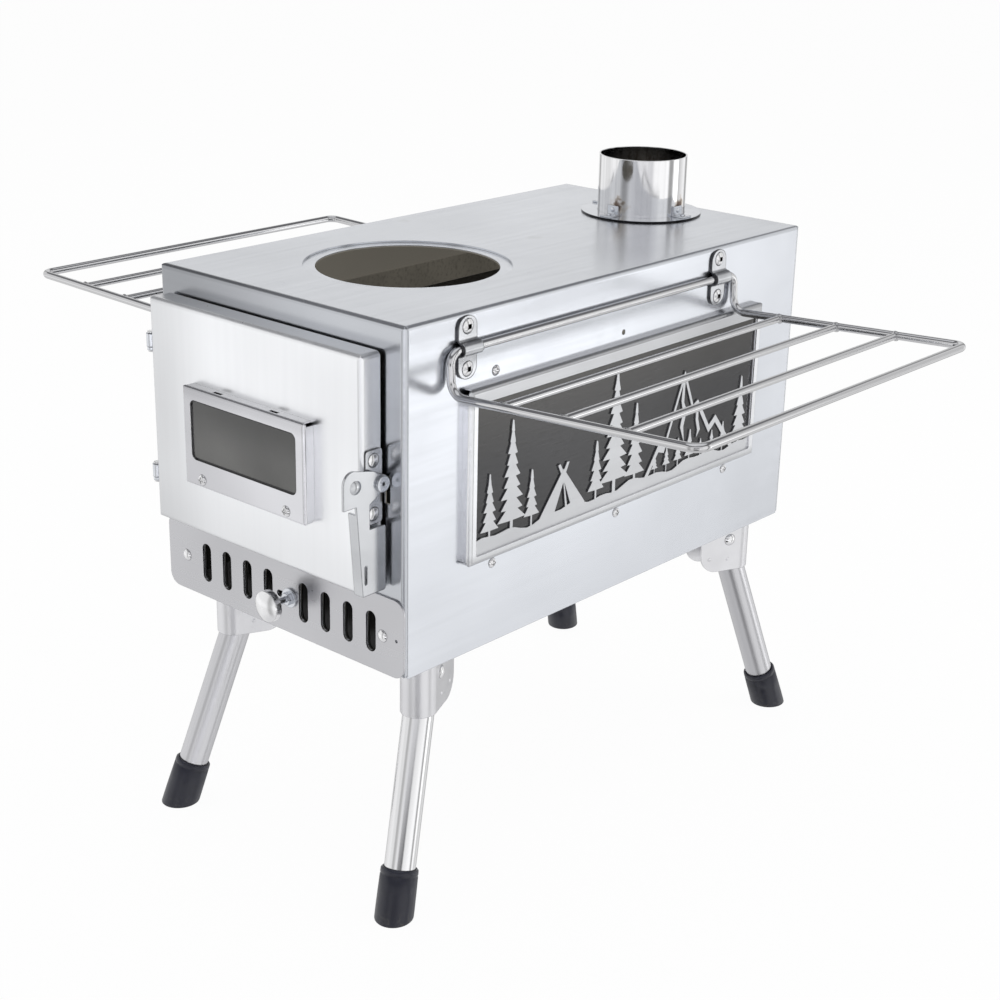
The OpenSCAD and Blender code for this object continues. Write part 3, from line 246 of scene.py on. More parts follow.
def use(tree, name, **ins):
    """Places a shared group in a material; returns its outputs."""
    node = tree.nodes.new("ShaderNodeGroup")
    node.node_tree = bpy.data.node_groups[name]
    for key, value in ins.items():
        socket = node.inputs[key.replace("_", " ")]
        if isinstance(value, bpy.types.NodeSocket):
            tree.links.new(value, socket)
        else:
            socket.default_value = value
    return node.outputs


def blank(name):
    """A material with only a Principled shader, its tree and that shader."""
    mat = bpy.data.materials.new(name)
    mat.use_nodes = True
    tree = mat.node_tree
    tree.nodes.clear()
    shader = add(tree, "ShaderNodeBsdfPrincipled")
    add(tree, "ShaderNodeOutputMaterial", {"Surface": shader.outputs["BSDF"]})
    return mat, tree, shader


def fit(tree, shader, skin, rough, normal):
    """Joins a colour, a roughness and a normal to a material's shader."""
    tree.links.new(skin, shader.inputs["Base Color"])
    tree.links.new(rough, shader.inputs["Roughness"])
    tree.links.new(normal, shader.inputs["Normal"])


def painted_glow(tree, shader, share, skin):
    """Gives back a share of the skin's colour as emission: a painted glow that stands in for light inside
    the firebox.
    """
    lit = blended(tree, share, (0.0, 0.0, 0.0, 1.0), skin)
    tree.links.new(lit, shader.inputs["Emission Color"])
    shader.inputs["Emission Strength"].default_value = 1.0


def place(tree, output="Object"):
    """Where on the object a point lies; the CAD frame, in metres."""
    return add(tree, "ShaderNodeTexCoord").outputs[output]


def height_of(tree, at):
    """The height of a point or direction."""
    return add(tree, "ShaderNodeSeparateXYZ", {"Vector": at}).outputs["Z"]


def noise_at(tree, at, scale, detail, **more):
    """A noise texture's value at a point."""
    ins = {"Vector": at, "Scale": scale, "Detail": detail, **more}
    return add(tree, "ShaderNodeTexNoise", ins).outputs["Fac"]


def bumped(tree, strength, depth, height, normal=None):
    """A normal with small relief."""
    ins = {"Strength": strength, "Distance": depth, "Height": height}
    return add(tree, "ShaderNodeBump", {**ins, "Normal": normal} if normal else ins).outputs[0]


def stained(tree, at, skin, marks):
    """Heat or weld marks over a skin, each a centre, a reach, a colour and its share."""
    for centre, reach, colour, share in marks:
        bloom = use(tree, "heat bloom", Vector=at, Centre=centre, Reach=reach)["Bloom"]
        skin = blended(tree, times(tree, bloom, share), skin, rgba(colour))
    return skin


def dress(mat, *nodes):
    """Puts a material on CAD nodes."""
    for name in nodes:
        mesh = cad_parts[name].data
        mesh.materials.clear()
        mesh.materials.append(mat)


# ---------- shared effects ----------


def brushed_grain():
    """Fine brushing: noise drawn out along one direction."""
    tree, given, put = group(
        "brushed grain",
        [("Vector", "vector", None), ("Stretch", "vector", (900.0, 30.0, 900.0))],
        [("Grain", "value"), ("Line", "value")])
    drawn = vectors(tree, "MULTIPLY", given["Vector"], given["Stretch"])
    tree.links.new(noise_at(tree, drawn, 0.35, 4.0), put["Grain"])
    tree.links.new(noise_at(tree, drawn, 1.6, 2.0), put["Line"])


def sheet_clouds():
    """Soft broad patches of rolled sheet, and its slight waviness."""
    tree, given, put = group(
        "sheet clouds",
        [("Vector", "vector", None), ("Size", "value", 0.09)],
        [("Cloud", "value"), ("Smear", "value")])
    scale = maths(tree, "DIVIDE", 1.0, given["Size"])
    tree.links.new(noise_at(tree, given["Vector"], scale, 2.0, Roughness=0.4), put["Cloud"])
    finer = times(tree, scale, 4.3)
    bent = noise_at(tree, given["Vector"], finer, 3.0, Distortion=1.2)
    tree.links.new(eased(tree, bent, 0.48, 0.72), put["Smear"])


def edge_light():
    """Cut edges softened for the shader, and a mask of where they are."""
    tree, given, put = group(
        "edge light", [("Width", "value", 0.0005)], [("Edge", "value"), ("Normal", "vector")])
    bevel = add(tree, "ShaderNodeBevel", {"Radius": given["Width"]}, samples=8)
    plain = add(tree, "ShaderNodeNewGeometry").outputs["Normal"]
    alike = dot(tree, bevel.outputs["Normal"], plain)
    tree.links.new(ranged(tree, alike, 0.995, 0.80), put["Edge"])
    tree.links.new(bevel.outputs["Normal"], put["Normal"])


def painted_reflection_bands():
    """Painted reflection: long darker bands round a polished tube or wire, by the way its skin faces."""
    tree, given, put = group(
        "painted reflection bands",
        [("Facing", "vector", None), ("Vector", "vector", None), ("Bands", "value", 2.6)],
        [("Band", "value"), ("Haze", "value")])
    turned = noise_at(tree, given["Facing"], given["Bands"], 3.0, Roughness=0.55)
    tree.links.new(eased(tree, turned, 0.38, 0.60), put["Band"])
    tree.links.new(noise_at(tree, given["Vector"], 160.0, 4.0), put["Haze"])


def inside_of():
    """1 inside a box, 0 outside it."""
    tree, given, put = group(
        "inside of",
        [("Vector", "vector", None), ("Centre", "vector", (0.0, 0.0, 0.0)),
         ("Half", "vector", (0.1, 0.1, 0.1))],
        [("Inside", "value")])
    off = vectors(tree, "ABSOLUTE", vectors(tree, "SUBTRACT", given["Vector"], given["Centre"]))
    past = add(tree, "ShaderNodeSeparateXYZ", {
        "Vector": vectors(tree, "SUBTRACT", off, given["Half"])}).outputs
    most = maths(tree, "MAXIMUM", maths(tree, "MAXIMUM", past["X"], past["Y"]), past["Z"])
    tree.links.new(ranged(tree, most, 0.0002, -0.0002), put["Inside"])


def heat_bloom():
    """Straw and brown heat tint around a point."""
    tree, given, put = group(
        "heat bloom",
        [("Vector", "vector", None), ("Centre", "vector", (0.0, 0.0, 0.0)),
         ("Reach", "value", 0.008)],
        [("Bloom", "value")])
    rough = noise_at(tree, given["Vector"], 260.0, 3.0)
    gap = vectors(tree, "DISTANCE", given["Vector"], given["Centre"], out="Value")
    share = maths(tree, "DIVIDE", gap, given["Reach"])
    wavy = maths(tree, "ADD", share, ranged(tree, rough, 0.3, 0.7, -0.35, 0.35))
    tree.links.new(eased(tree, wavy, 1.0, 0.2), put["Bloom"])


def braid_cover():
    """Yarn over and under of a braided or woven cover."""
    tree, given, put = group(
        "braid cover",
        [("Vector", "vector", None), ("Yarn", "value", 0.0012)],
        [("Weave", "value"), ("Fluff", "value")])
    scale = maths(tree, "DIVIDE", 1.0, given["Yarn"])
    yarns = add(tree, "ShaderNodeTexVoronoi", {"Vector": given["Vector"], "Scale": scale})
    fluff = noise_at(tree, given["Vector"], times(tree, scale, 1.7), 5.0)
    tree.links.new(yarns.outputs["Distance"], put["Weave"])
    tree.links.new(fluff, put["Fluff"])


def shared_effects():
    """Builds each shared group once."""
    for build in (brushed_grain, sheet_clouds, edge_light, painted_reflection_bands, inside_of, heat_bloom,
                  braid_cover):
        build()


# ---------- finishes ----------


def satin(name, colour, roughness, stretch, cloud=0.05, size=0.09, inside=None, marks=(),
          grain=0.06, painted_edge_gain=1.2, edge_width=1.0, rim=None, holes=(), relief=0.2, painted_shades=()):
    """Satin sheet: brushing, patches, edges painted lighter as highlight and darker as shade by their
    gain, soot inside with painted shade low down and a painted glow, faces side-on to an axis painted in
    a given rim colour, dark as painted shadow and light as painted highlight, holes painted black as
    shade, weld marks and painted shade along axes.
    """
    finish = bpy.context.scene.stove_finish
    mat, tree, shader = blank(name)
    at = place(tree)
    brush = use(tree, "brushed grain", Vector=at, Stretch=stretch)
    sheet = use(tree, "sheet clouds", Vector=at, Size=size)
    edge = use(tree, "edge light", Width=finish.fold_round * edge_width)
    skin = blended(tree, ranged(tree, sheet["Cloud"], 0.3, 0.7),
                   rgba(colour, 1.0 - cloud), rgba(colour, 1.0 + cloud))
    skin = blended(tree, ranged(tree, brush["Grain"], 0.30, 0.70, 0.0, grain), skin,
                   rgba(colour, 0.7))
    skin = blended(tree, times(tree, sheet["Smear"], 0.03), skin, rgba(colour, 1.12))
    # Painted highlight on the edges where the gain is above 1, and painted shade where it is below 1.
    skin = blended(tree, times(tree, edge["Edge"], 0.6), skin, rgba(colour, painted_edge_gain))
    rough = maths(tree, "ADD", ranged(tree, brush["Grain"], 0.25, 0.75, -0.03, 0.03),
                  ranged(tree, sheet["Smear"], 0.0, 1.0, roughness, roughness + 0.02))
    skin = stained(tree, at, skin, marks)
    # Faces side-on to the axis take the rim colour: a dark one paints a shadow line, a light one paints a
    # highlight.
    if rim:
        facing = dot(tree, place(tree, "Normal"), rim[0])
        side_on = ranged(tree, maths(tree, "ABSOLUTE", facing), 0.6, 0.2)
        skin = blended(tree, side_on, skin, rgba(rim[1]))
    if inside:
        within = use(tree, "inside of", Vector=at, Centre=inside[0], Half=inside[1])["Inside"]
        dull = blended(tree, sheet["Cloud"], rgba(finish.soot_colour, 0.85),
                       rgba(finish.soot_colour, 1.15))
        # Painted shade: deep in the firebox the soot is painted near black.
        above_painted_shade = eased(tree, height_of(tree, at), *PAINTED_SHADE_DEPTH)
        dull = blended(tree, above_painted_shade, (0.010, 0.010, 0.009, 1.0), dull)
        skin = blended(tree, within, skin, dull)
        rough = maths(tree, "MAXIMUM", rough, times(tree, within, 0.6))
        tree.links.new(maths(tree, "SUBTRACT", 1.0, times(tree, within, 0.8)),
                       shader.inputs["Metallic"])
        # Painted glow: the inside gives back a share of its soot colour as light.
        painted_glow(tree, shader, times(tree, within, 0.25), dull)
    else:
        shader.inputs["Metallic"].default_value = 1.0
    # Painted shade: along each axis the colour darkens by its gain.
    for axis, low, high, gain in painted_shades:
        along = dot(tree, at, axis)
        skin = blended(tree, eased(tree, along, low, high), skin,
                       vectors(tree, "SCALE", skin, gain))
    # Painted shade: the holes are painted black, with no hole cut.
    for centre, half in holes:
        within = use(tree, "inside of", Vector=at, Centre=centre, Half=half)["Inside"]
        skin = blended(tree, within, skin, (0.003, 0.003, 0.003, 1.0))
    height = maths(tree, "ADD", times(tree, brush["Line"], 0.25),
                   times(tree, sheet["Cloud"], 40.0 * size))
    fit(tree, shader, skin, rough, bumped(tree, relief, 0.00006, height, edge["Normal"]))
    return mat


def polished(name, colour, roughness, bands=2.6, dark=0.42, marks=(), haze=1.0):
    """Polished tube or wire with long darker bands of painted reflection, fine haze and rims painted
    bright as highlight.
    """
    finish = bpy.context.scene.stove_finish
    mat, tree, shader = blank(name)
    at = place(tree)
    reflection_bands = use(tree, "painted reflection bands", Facing=place(tree, "Normal"), Vector=at, Bands=bands)
    edge = use(tree, "edge light", Width=finish.fold_round)
    # Painted reflection in the dark bands, then painted highlight on the rims.
    skin = blended(tree, reflection_bands["Band"], rgba(colour, dark), rgba(colour))
    skin = blended(tree, times(tree, edge["Edge"], 0.5), skin, rgba(colour, 1.2))
    skin = stained(tree, at, skin, marks)
    rough = ranged(tree, reflection_bands["Haze"], 0.3, 0.7, roughness - 0.03 * haze,
                   roughness + 0.05 * haze)
    normal = bumped(tree, 0.06 * haze, 0.00004, reflection_bands["Haze"], edge["Normal"])
    fit(tree, shader, skin, rough, normal)
    shader.inputs["Metallic"].default_value = 1.0
    return mat


def sooty(name, glow=0.0):
    """Heat-darkened mild steel with scale, edges painted pale as highlight, painted shade low down and a
    painted glow.
    """
    finish = bpy.context.scene.stove_finish
    mat, tree, shader = blank(name)
    at = place(tree)
    sheet = use(tree, "sheet clouds", Vector=at, Size=0.05)
    edge = use(tree, "edge light", Width=finish.fold_round)
    scale = noise_at(tree, at, 420.0, 6.0)
    skin = blended(tree, sheet["Cloud"], rgba(finish.soot_colour, 0.6), rgba(finish.soot_colour, 1.5))
    skin = blended(tree, ranged(tree, scale, 0.5, 0.75, 0.0, 0.35), skin, (0.09, 0.075, 0.06, 1.0))
    # Painted highlight: the edges are painted pale.
    skin = blended(tree, times(tree, edge["Edge"], 0.5), skin, (0.5, 0.49, 0.46, 1.0))
    # Painted shade: low down the steel is painted near black.
    above_painted_shade = eased(tree, height_of(tree, at), *PAINTED_SHADE_DEPTH)
    skin = blended(tree, above_painted_shade, (0.012, 0.012, 0.011, 1.0), skin)
    fit(tree, shader, skin, ranged(tree, scale, 0.3, 0.7, 0.42, 0.62),
        bumped(tree, 0.35, 0.0001, scale, edge["Normal"]))
    # Painted glow: a share of the colour is given back as light.
    painted_glow(tree, shader, glow, skin)
    shader.inputs["Metallic"].default_value = 0.85
    return mat


def pane(name, colour, see_through, dashes, smoke, lip=None):
    """Heat-proof glass with faint dashes drawn along it, a painted reflection tint towards the top and a
    rim painted black as shade.
    """
    mat, tree, shader = blank(name)
    at = place(tree)
    sheet = use(tree, "sheet clouds", Vector=at, Size=0.06)
    drawn = vectors(tree, "MULTIPLY", at, (75.0, 75.0, 560.0))
    streak = noise_at(tree, drawn, 1.0, 2.0)
    dash = eased(tree, streak, 0.57, 0.66)
    fleck = eased(tree, streak, 0.30, 0.24)
    skin = blended(tree, ranged(tree, sheet["Cloud"], 0.3, 0.7), rgba(colour, 0.8),
                   rgba(colour, 1.3))
    skin = blended(tree, times(tree, dash, 0.5 * dashes), skin, rgba(colour, 0.25))
    skin = blended(tree, times(tree, fleck, 0.35 * dashes), skin, rgba(colour, 2.2))
    # Painted reflection: towards its top the pane takes the given tint.
    low, high, haze = smoke
    reflected_top = times(tree, eased(tree, height_of(tree, at), low, high), 0.7)
    skin = blended(tree, reflected_top, skin, rgba(haze))
    # Painted shade: outside the clear box the pane is painted black.
    if lip:
        clear = use(tree, "inside of", Vector=at, Centre=lip[0], Half=lip[1])["Inside"]
        skin = blended(tree, clear, (0.004, 0.004, 0.004, 1.0), skin)
    fit(tree, shader, skin, ranged(tree, sheet["Smear"], 0.0, 1.0, 0.06, 0.14),
        bumped(tree, 0.3 * dashes, 0.0001, streak))
    shader.inputs["Transmission Weight"].default_value = see_through
    shader.inputs["IOR"].default_value = 1.47
    return mat


def rope_cover(name, yarn):
    """Charcoal glass-fibre braid: yarns, loose fluff and a soft sheen."""
    mat, tree, shader = blank(name)
    at = place(tree)
    braid = use(tree, "braid cover", Vector=at, Yarn=yarn)
    # Painted shade: the braid is darker in the hollows between the yarns.
    skin = blended(tree, ranged(tree, braid["Weave"], 0.0, 0.6), (0.045, 0.044, 0.043, 1.0),
                   (0.014, 0.014, 0.014, 1.0))
    skin = blended(tree, ranged(tree, braid["Fluff"], 0.52, 0.75, 0.0, 0.4), skin,
                   (0.10, 0.098, 0.095, 1.0))
    height = maths(tree, "SUBTRACT", times(tree, braid["Fluff"], 0.5), braid["Weave"])
    fit(tree, shader, skin, ranged(tree, braid["Fluff"], 0.3, 0.7, 0.8, 0.98),
        bumped(tree, 0.7, 0.0003, height))
    shader.inputs["Sheen Weight"].default_value = 0.3
    return mat


def foot_rubber(name):
    """Black moulded rubber with pores, patchy tone, edges painted lighter as highlight, and dust low
    down.
    """
    finish = bpy.context.scene.stove_finish
    mat, tree, shader = blank(name)
    at = place(tree)
    pores = noise_at(tree, at, 1400.0, 3.0)
    sheet = use(tree, "sheet clouds", Vector=at, Size=0.02)
    edge = use(tree, "edge light", Width=finish.fold_round)
    low = ranged(tree, height_of(tree, at), 0.009, 0.0, 0.0, 0.5)
    skin = blended(tree, sheet["Cloud"], rgba(finish.rubber_colour, 0.75),
                   rgba(finish.rubber_colour, 1.5))
    skin = blended(tree, times(tree, low, sheet["Smear"]), skin,
                   (0.10, 0.095, 0.085, 1.0))
    # Painted highlight: the edges are painted lighter.
    skin = blended(tree, times(tree, edge["Edge"], 0.4), skin, (0.09, 0.09, 0.10, 1.0))
    fit(tree, shader, skin, ranged(tree, sheet["Cloud"], 0.3, 0.7, 0.30, 0.42),
        bumped(tree, 0.25, 0.00008, pores, edge["Normal"]))
    return mat


# ---------- mesh helpers ----------


def piece(name, build, body, mat):
    """Makes an object from a bmesh in the stove's frame and hangs it on its body."""
    build.normal_update()
    mesh = bpy.data.meshes.new(name)
    build.to_mesh(mesh)
    build.free()
    mesh.materials.append(mat)
    for face in mesh.polygons:
        face.use_smooth = True
    made = bpy.data.objects.new(name, mesh)
    bpy.context.scene.collection.objects.link(made)
    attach(made, body)
    return made


def skin_rings(build, rings, closed_loop=False):
    """Joins rings of points to a skin, and closes its ends where it isn't a loop."""
    rows = [[build.verts.new(p) for p in ring] for ring in rings]
    pairs = list(zip(rows, rows[1:]))
    if closed_loop:
        pairs.append((rows[-1], rows[0]))
    for low, high in pairs:
        for j in range(len(low)):
            k = (j + 1) % len(low)
            build.faces.new((low[j], low[k], high[k], high[j]))
    if not closed_loop:
        build.faces.new(rows[0][::-1])
        build.faces.new(rows[-1])


def loop_points(width, height, radius, step):
    """Points round a rounded rectangle, each with its outward direction."""
    points = []
    corners = [(1, 1, 0), (-1, 1, 90), (-1, -1, 180), (1, -1, 270)]
    arc = max(4, round(math.radians(90) * radius / step) + 1)
    for i, (sx, sy, start) in enumerate(corners):
        cx, cy = sx * (width / 2 - radius), sy * (height / 2 - radius)
        for k in range(arc + 1):
            a = math.radians(start + 90 * k / arc)
            points.append((cx + radius * math.cos(a), cy + radius * math.sin(a),
                           math.cos(a), math.sin(a)))
        nx, ny, _ = corners[(i + 1) % 4]
        a = math.radians(start + 90)
        end = (nx * (width / 2 - radius) + radius * math.cos(a),
               ny * (height / 2 - radius) + radius * math.sin(a))
        gap = math.dist(points[-1][:2], end)
        count = max(1, round(gap / step))
        x0, y0 = points[-1][:2]
        for k in range(1, count):
            t = k / count
            points.append((x0 + (end[0] - x0) * t, y0 + (end[1] - y0) * t,
                           math.cos(a), math.sin(a)))
    return points


def braided_loop(build, box, facing, width, radius, pitch, relief, step, around=12):
    """A braided rope laid in a rounded loop that fills a flat box on its facing axis."""
    low, high = box
    mid = (low + high) / 2
    size = high - low
    across, depth = (0, 1) if facing == "Y" else (1, 0)
    points = loop_points(size[across] - width, size[2] - width, radius, step)
    run = 0.0
    rings = []
    last = points[-1]
    for u, v, nu, nv in points:
        run += math.dist(last[:2], (u, v))
        last = (u, v)
        ring = []
        for j in range(around):
            a = 2 * math.pi * j / around
            one = math.cos(2 * math.pi * run / pitch + 3 * a)
            other = math.cos(2 * math.pi * run / pitch - 3 * a)
            swell = 1 - relief * (0.5 - 0.5 * max(one, other))
            side = width / 2 * math.copysign(abs(math.cos(a)) ** 0.75, math.cos(a)) * swell
            out = size[depth] / 2 * math.copysign(abs(math.sin(a)) ** 0.75, math.sin(a)) * swell
            point = [0.0, 0.0, mid[2] + v + nv * side]
            point[across] = mid[across] + u + nu * side
            point[depth] = mid[depth] + out
            ring.append(point)
        rings.append(ring)
    skin_rings(build, rings, closed_loop=True)


def lathe(build, profile, place_at, turns):
    """Turns a profile of (radius, height) round an axis in that many steps; place_at is its matrix."""
    rings = []
    for radius, height in profile:
        rings.append([place_at @ Vector((radius * math.cos(2 * math.pi * k / turns),
                                         radius * math.sin(2 * math.pi * k / turns), height))
                      for k in range(turns)])
    skin_rings(build, rings)


def leg_place(name):
    """Where a leg's pivot is, and which way its tube runs."""
    sx = 1 if name.endswith("right") else -1
    sy = -1 if name.startswith("front") else 1
    lean, turn = math.radians(LEG_LEAN), math.radians(LEG_TURN)
    down = Vector((sx * math.sin(turn) * math.sin(lean), sy * math.cos(turn) * math.sin(lean),
                   -math.cos(lean)))
    pivot = Vector((sx * LEG_PIVOT_X, LEG_PIVOT_FRONT if sy < 0 else LEG_PIVOT_REAR, LEG_PIVOT_Z))
    return pivot, down


def shelf_place(side):
    """The frame of a shelf: its rod's middle, turned by its slight rise."""
    rise = math.radians(SHELF_RISE[side])
    turn = Matrix.Rotation(-rise, 4, "Y")
    flip = Matrix.Scale(-1, 4, (1, 0, 0)) if side < 0 else Matrix.Identity(4)
    return flip @ Matrix.Translation(SHELF_ROD) @ turn


# ---------- pieces ----------


class STOVE_OT_sheets(bpy.types.Operator):
    """Finish the firebox sheets: shell, pans, base and the pressed rings"""

    bl_idname = "stove.sheets"
    bl_label = "Firebox sheets"

    def execute(self, context):
        finish = context.scene.stove_finish
        colour, rough = finish.sheet_colour, finish.sheet_roughness
        # Inside these boxes the sheets show soot, painted near black low down as shade, with a painted
        # glow.
        room = (FIREBOX_MID, Vector((0.1010, 0.1780, 0.1014)))
        behind = (FIREBOX_MID, Vector((0.0972, 0.1874, 0.0980)))
        spots = [(Vector((-0.087, 0.009, 0.359)), 0.006, (0.50, 0.50, 0.51), 0.35),
                 (Vector((0.005, 0.033, 0.359)), 0.007, (0.50, 0.50, 0.51), 0.35)]
        dress(satin("satin shell", colour, rough - 0.07, BRUSHED_Y, inside=room, marks=spots,
                    relief=0.12), "body_shell")
        # Painted shade: the front and rear pans take a darker copy of the sheet colour, and the front pan
        # darkens towards its left.
        dull = tuple(0.80 * c for c in colour)
        dress(satin("satin pans", dull, rough - 0.08, BRUSHED_X, inside=behind, painted_edge_gain=1.25,
                    painted_shades=[(ACROSS, 0.06, -0.09, 0.58)]), "front_pan")
        dress(satin("satin rear", dull, rough - 0.08, BRUSHED_X, inside=behind, painted_edge_gain=1.25),
              "rear_pan")
        dress(satin("satin base", colour, rough + 0.06, BRUSHED_X, inside=room), "base_pan")
        dress(satin("pressed ring", colour, rough - 0.08, (500.0, 500.0, 40.0), cloud=0.08,
                    size=0.03, inside=(Vector((0.0, 0.005, 0.25)), Vector((0.2, 0.3, 0.1072)))),
              "cook_ring")
        # Painted shadow: the ring plate's side-on rim is painted near black.
        dress(satin("ring plate", colour, rough - 0.14, (500.0, 500.0, 40.0), cloud=0.08, size=0.03,
                    rim=(UP, (0.02, 0.02, 0.022))), "flue_ring")
        return {"FINISHED"}


class STOVE_OT_front(bpy.types.Operator):
    """Finish the vent plate, its slider, the door sheets and the window cover"""

    bl_idname = "stove.front"
    bl_label = "Door and vents"

    def execute(self, context):
        finish = context.scene.stove_finish
        rough = finish.sheet_roughness
        dress(satin("vent sheet", finish.vent_colour, rough - 0.02, (22.0, 700.0, 700.0), cloud=0.05,
                    grain=0.0, relief=0.02), "vent_plate")
        # Painted shade: the slider behind the vent slots is painted near black.
        dress(satin("slider sheet", (0.05, 0.05, 0.05), rough, (22.0, 700.0, 700.0), cloud=0.08),
              "air_slider")
        # Painted shade: the door darkens towards its left and towards its bottom.
        dress(satin("door sheet", finish.door_colour, rough, BRUSHED_Z, cloud=0.04,
                    painted_shades=[(ACROSS, -0.03, -0.09, 0.78), (UP, 0.25, 0.19, 0.90)]), "door_pan")
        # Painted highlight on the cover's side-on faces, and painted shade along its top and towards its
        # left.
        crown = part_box("door_cover")[1].z
        dress(satin("cover sheet", finish.cover_colour, rough - 0.10, (26.0, 700.0, 700.0),
                    cloud=0.05, size=0.05, grain=0.03, relief=0.06,
                    rim=(ALONG, (0.84, 0.84, 0.86)),
                    painted_shades=[(UP, crown - 0.010, crown - 0.002, 0.82),
                            (ACROSS, 0.03, -0.05, 0.80)]), "door_cover")
        return {"FINISHED"}


class STOVE_OT_windows(bpy.types.Operator):
    """Finish the window frames, the cut-out plates and the panes"""

    bl_idname = "stove.windows"
    bl_label = "Windows"

    def execute(self, context):
        finish = context.scene.stove_finish
        rough = finish.sheet_roughness
        # Painted highlight on the frames' faces side-on to x, and painted shade along their top and
        # bottom bands.
        dress(satin("frame sheet", finish.frame_colour, rough - 0.08, BRUSHED_Y,
                    cloud=0.06, size=0.06, edge_width=0.6, relief=0.1,
                    rim=(ACROSS, (0.93, 0.93, 0.95)),
                    painted_shades=[(UP, 0.303, 0.307, 0.62), (UP, 0.218, 0.213, 0.78)]),
              "right_window_frame", "left_window_frame")
        cut = tuple(0.80 * c for c in finish.frame_colour)
        dress(satin("cut-out sheet", cut, rough + 0.05, (600.0, 40.0, 600.0),
                    cloud=0.05, size=0.04, painted_edge_gain=0.4, edge_width=0.6),
              "right_silhouette", "left_silhouette")
        # Painted reflection: the side panes turn brown towards their top.
        dress(pane("side pane", finish.pane_colour, 0.25, 1.0, (0.26, 0.32, (0.085, 0.078, 0.066))),
              "right_glass", "left_glass")
        # Painted shade: outside this box the door pane is painted black round its rim, and painted
        # reflection darkens its top.
        hole = (Vector((-0.00325, -0.203, 0.2735)), Vector((0.0440, 0.02, 0.0171)))
        dress(pane("door pane", (0.16, 0.16, 0.155), 0.2, 0.0, (0.264, 0.290, (0.055, 0.055, 0.055)),
                   lip=hole), "door_glass")
        return {"FINISHED"}


class STOVE_OT_tubes(bpy.types.Operator):
    """Finish the polished collar and leg tubes, and lay the collar's weld"""

    bl_idname = "stove.tubes"
    bl_label = "Collar and legs"

    def execute(self, context):
        finish = context.scene.stove_finish
        trim = context.scene.stove_trim
        around = [(FLUE_R, 0.0025), (-FLUE_R, 0.002), (0.002, FLUE_R), (0.003, -FLUE_R)]
        burns = [(Vector((x, FLUE_Y + y, z)), reach, colour, share)
                 for z, reach, colour, share in ((0.3665, 0.0085, (0.42, 0.31, 0.18), 0.55),
                                                 (0.3675, 0.0055, (0.07, 0.035, 0.02), 0.85))
                 for x, y in around]
        collar = polished("collar polish", finish.polish_colour, 0.07, bands=3.1, dark=0.80,
                          marks=burns)
        dress(collar, "flue_collar")
        tube = polished("tube polish", finish.polish_colour, 0.15, bands=1.1, dark=0.88, haze=0.15)
        dress(tube, "front_right_tube")
        tube = polished("tube satin", finish.tube_colour, 0.30, bands=1.1, dark=0.88, haze=0.15)
        dress(tube, "front_left_tube", "rear_right_tube", "rear_left_tube")

        low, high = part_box("flue_collar")
        build = bmesh.new()
        rings = []
        for i in range(61):
            z = low.z + 0.001 + (high.z - low.z - 0.002) * i / 60
            ripple = 1 + 0.18 * math.sin(i * 1.9) + 0.1 * noise.noise((0.0, 0.0, i * 0.7))
            half = trim.seam_width / 2 * ripple
            ring = []
            for k in range(8):
                a = math.pi * k / 7
                ring.append((half * math.cos(a), high.y - 0.0002 + 0.0005 * math.sin(a), z))
            rings.append(ring)
        skin_rings(build, rings)
        piece("collar_seam", build, "stove_body", collar)
        return {"FINISHED"}


class STOVE_OT_shelves(bpy.types.Operator):
    """Finish the shelf wires and add the welds that hold the cross bars"""

    bl_idname = "stove.shelves"
    bl_label = "Wire shelves"

    def execute(self, context):
        finish = context.scene.stove_finish
        trim = context.scene.stove_trim
        wire = polished("bright wire", finish.wire_colour, 0.12, bands=1.8, dark=0.84, haze=0.2)
        dress(wire, "right_shelf_frame", "right_shelf_bars", "left_shelf_frame", "left_shelf_bars")
        weld = polished("weld", finish.wire_colour, 0.30, bands=2.0, dark=0.6)
        for side, name in ((1, "right_shelf"), (-1, "left_shelf")):
            build = bmesh.new()
            at = shelf_place(side)
            for i in range(3):
                for end in (-1, 1):
                    base = Vector((BAR_FIRST + BAR_STEP * i, end * BAR_HALF, BAR_DROP))
                    turn = Matrix.Rotation(math.radians(90 * end), 4, "X")
                    stand = at @ Matrix.Translation(base) @ turn
                    profile = []
                    for k in range(9):
                        t = k / 8
                        rise = 0.0012 + 0.0030 * t
                        flare = trim.weld_flare * (1 - t) ** 2
                        profile.append((0.00221 + flare, rise))
                    lathe(build, profile, stand, turns=20)
            bmesh.ops.recalc_face_normals(build, faces=build.faces)
            piece(f"{name}_welds", build, name, weld)
        return {"FINISHED"}


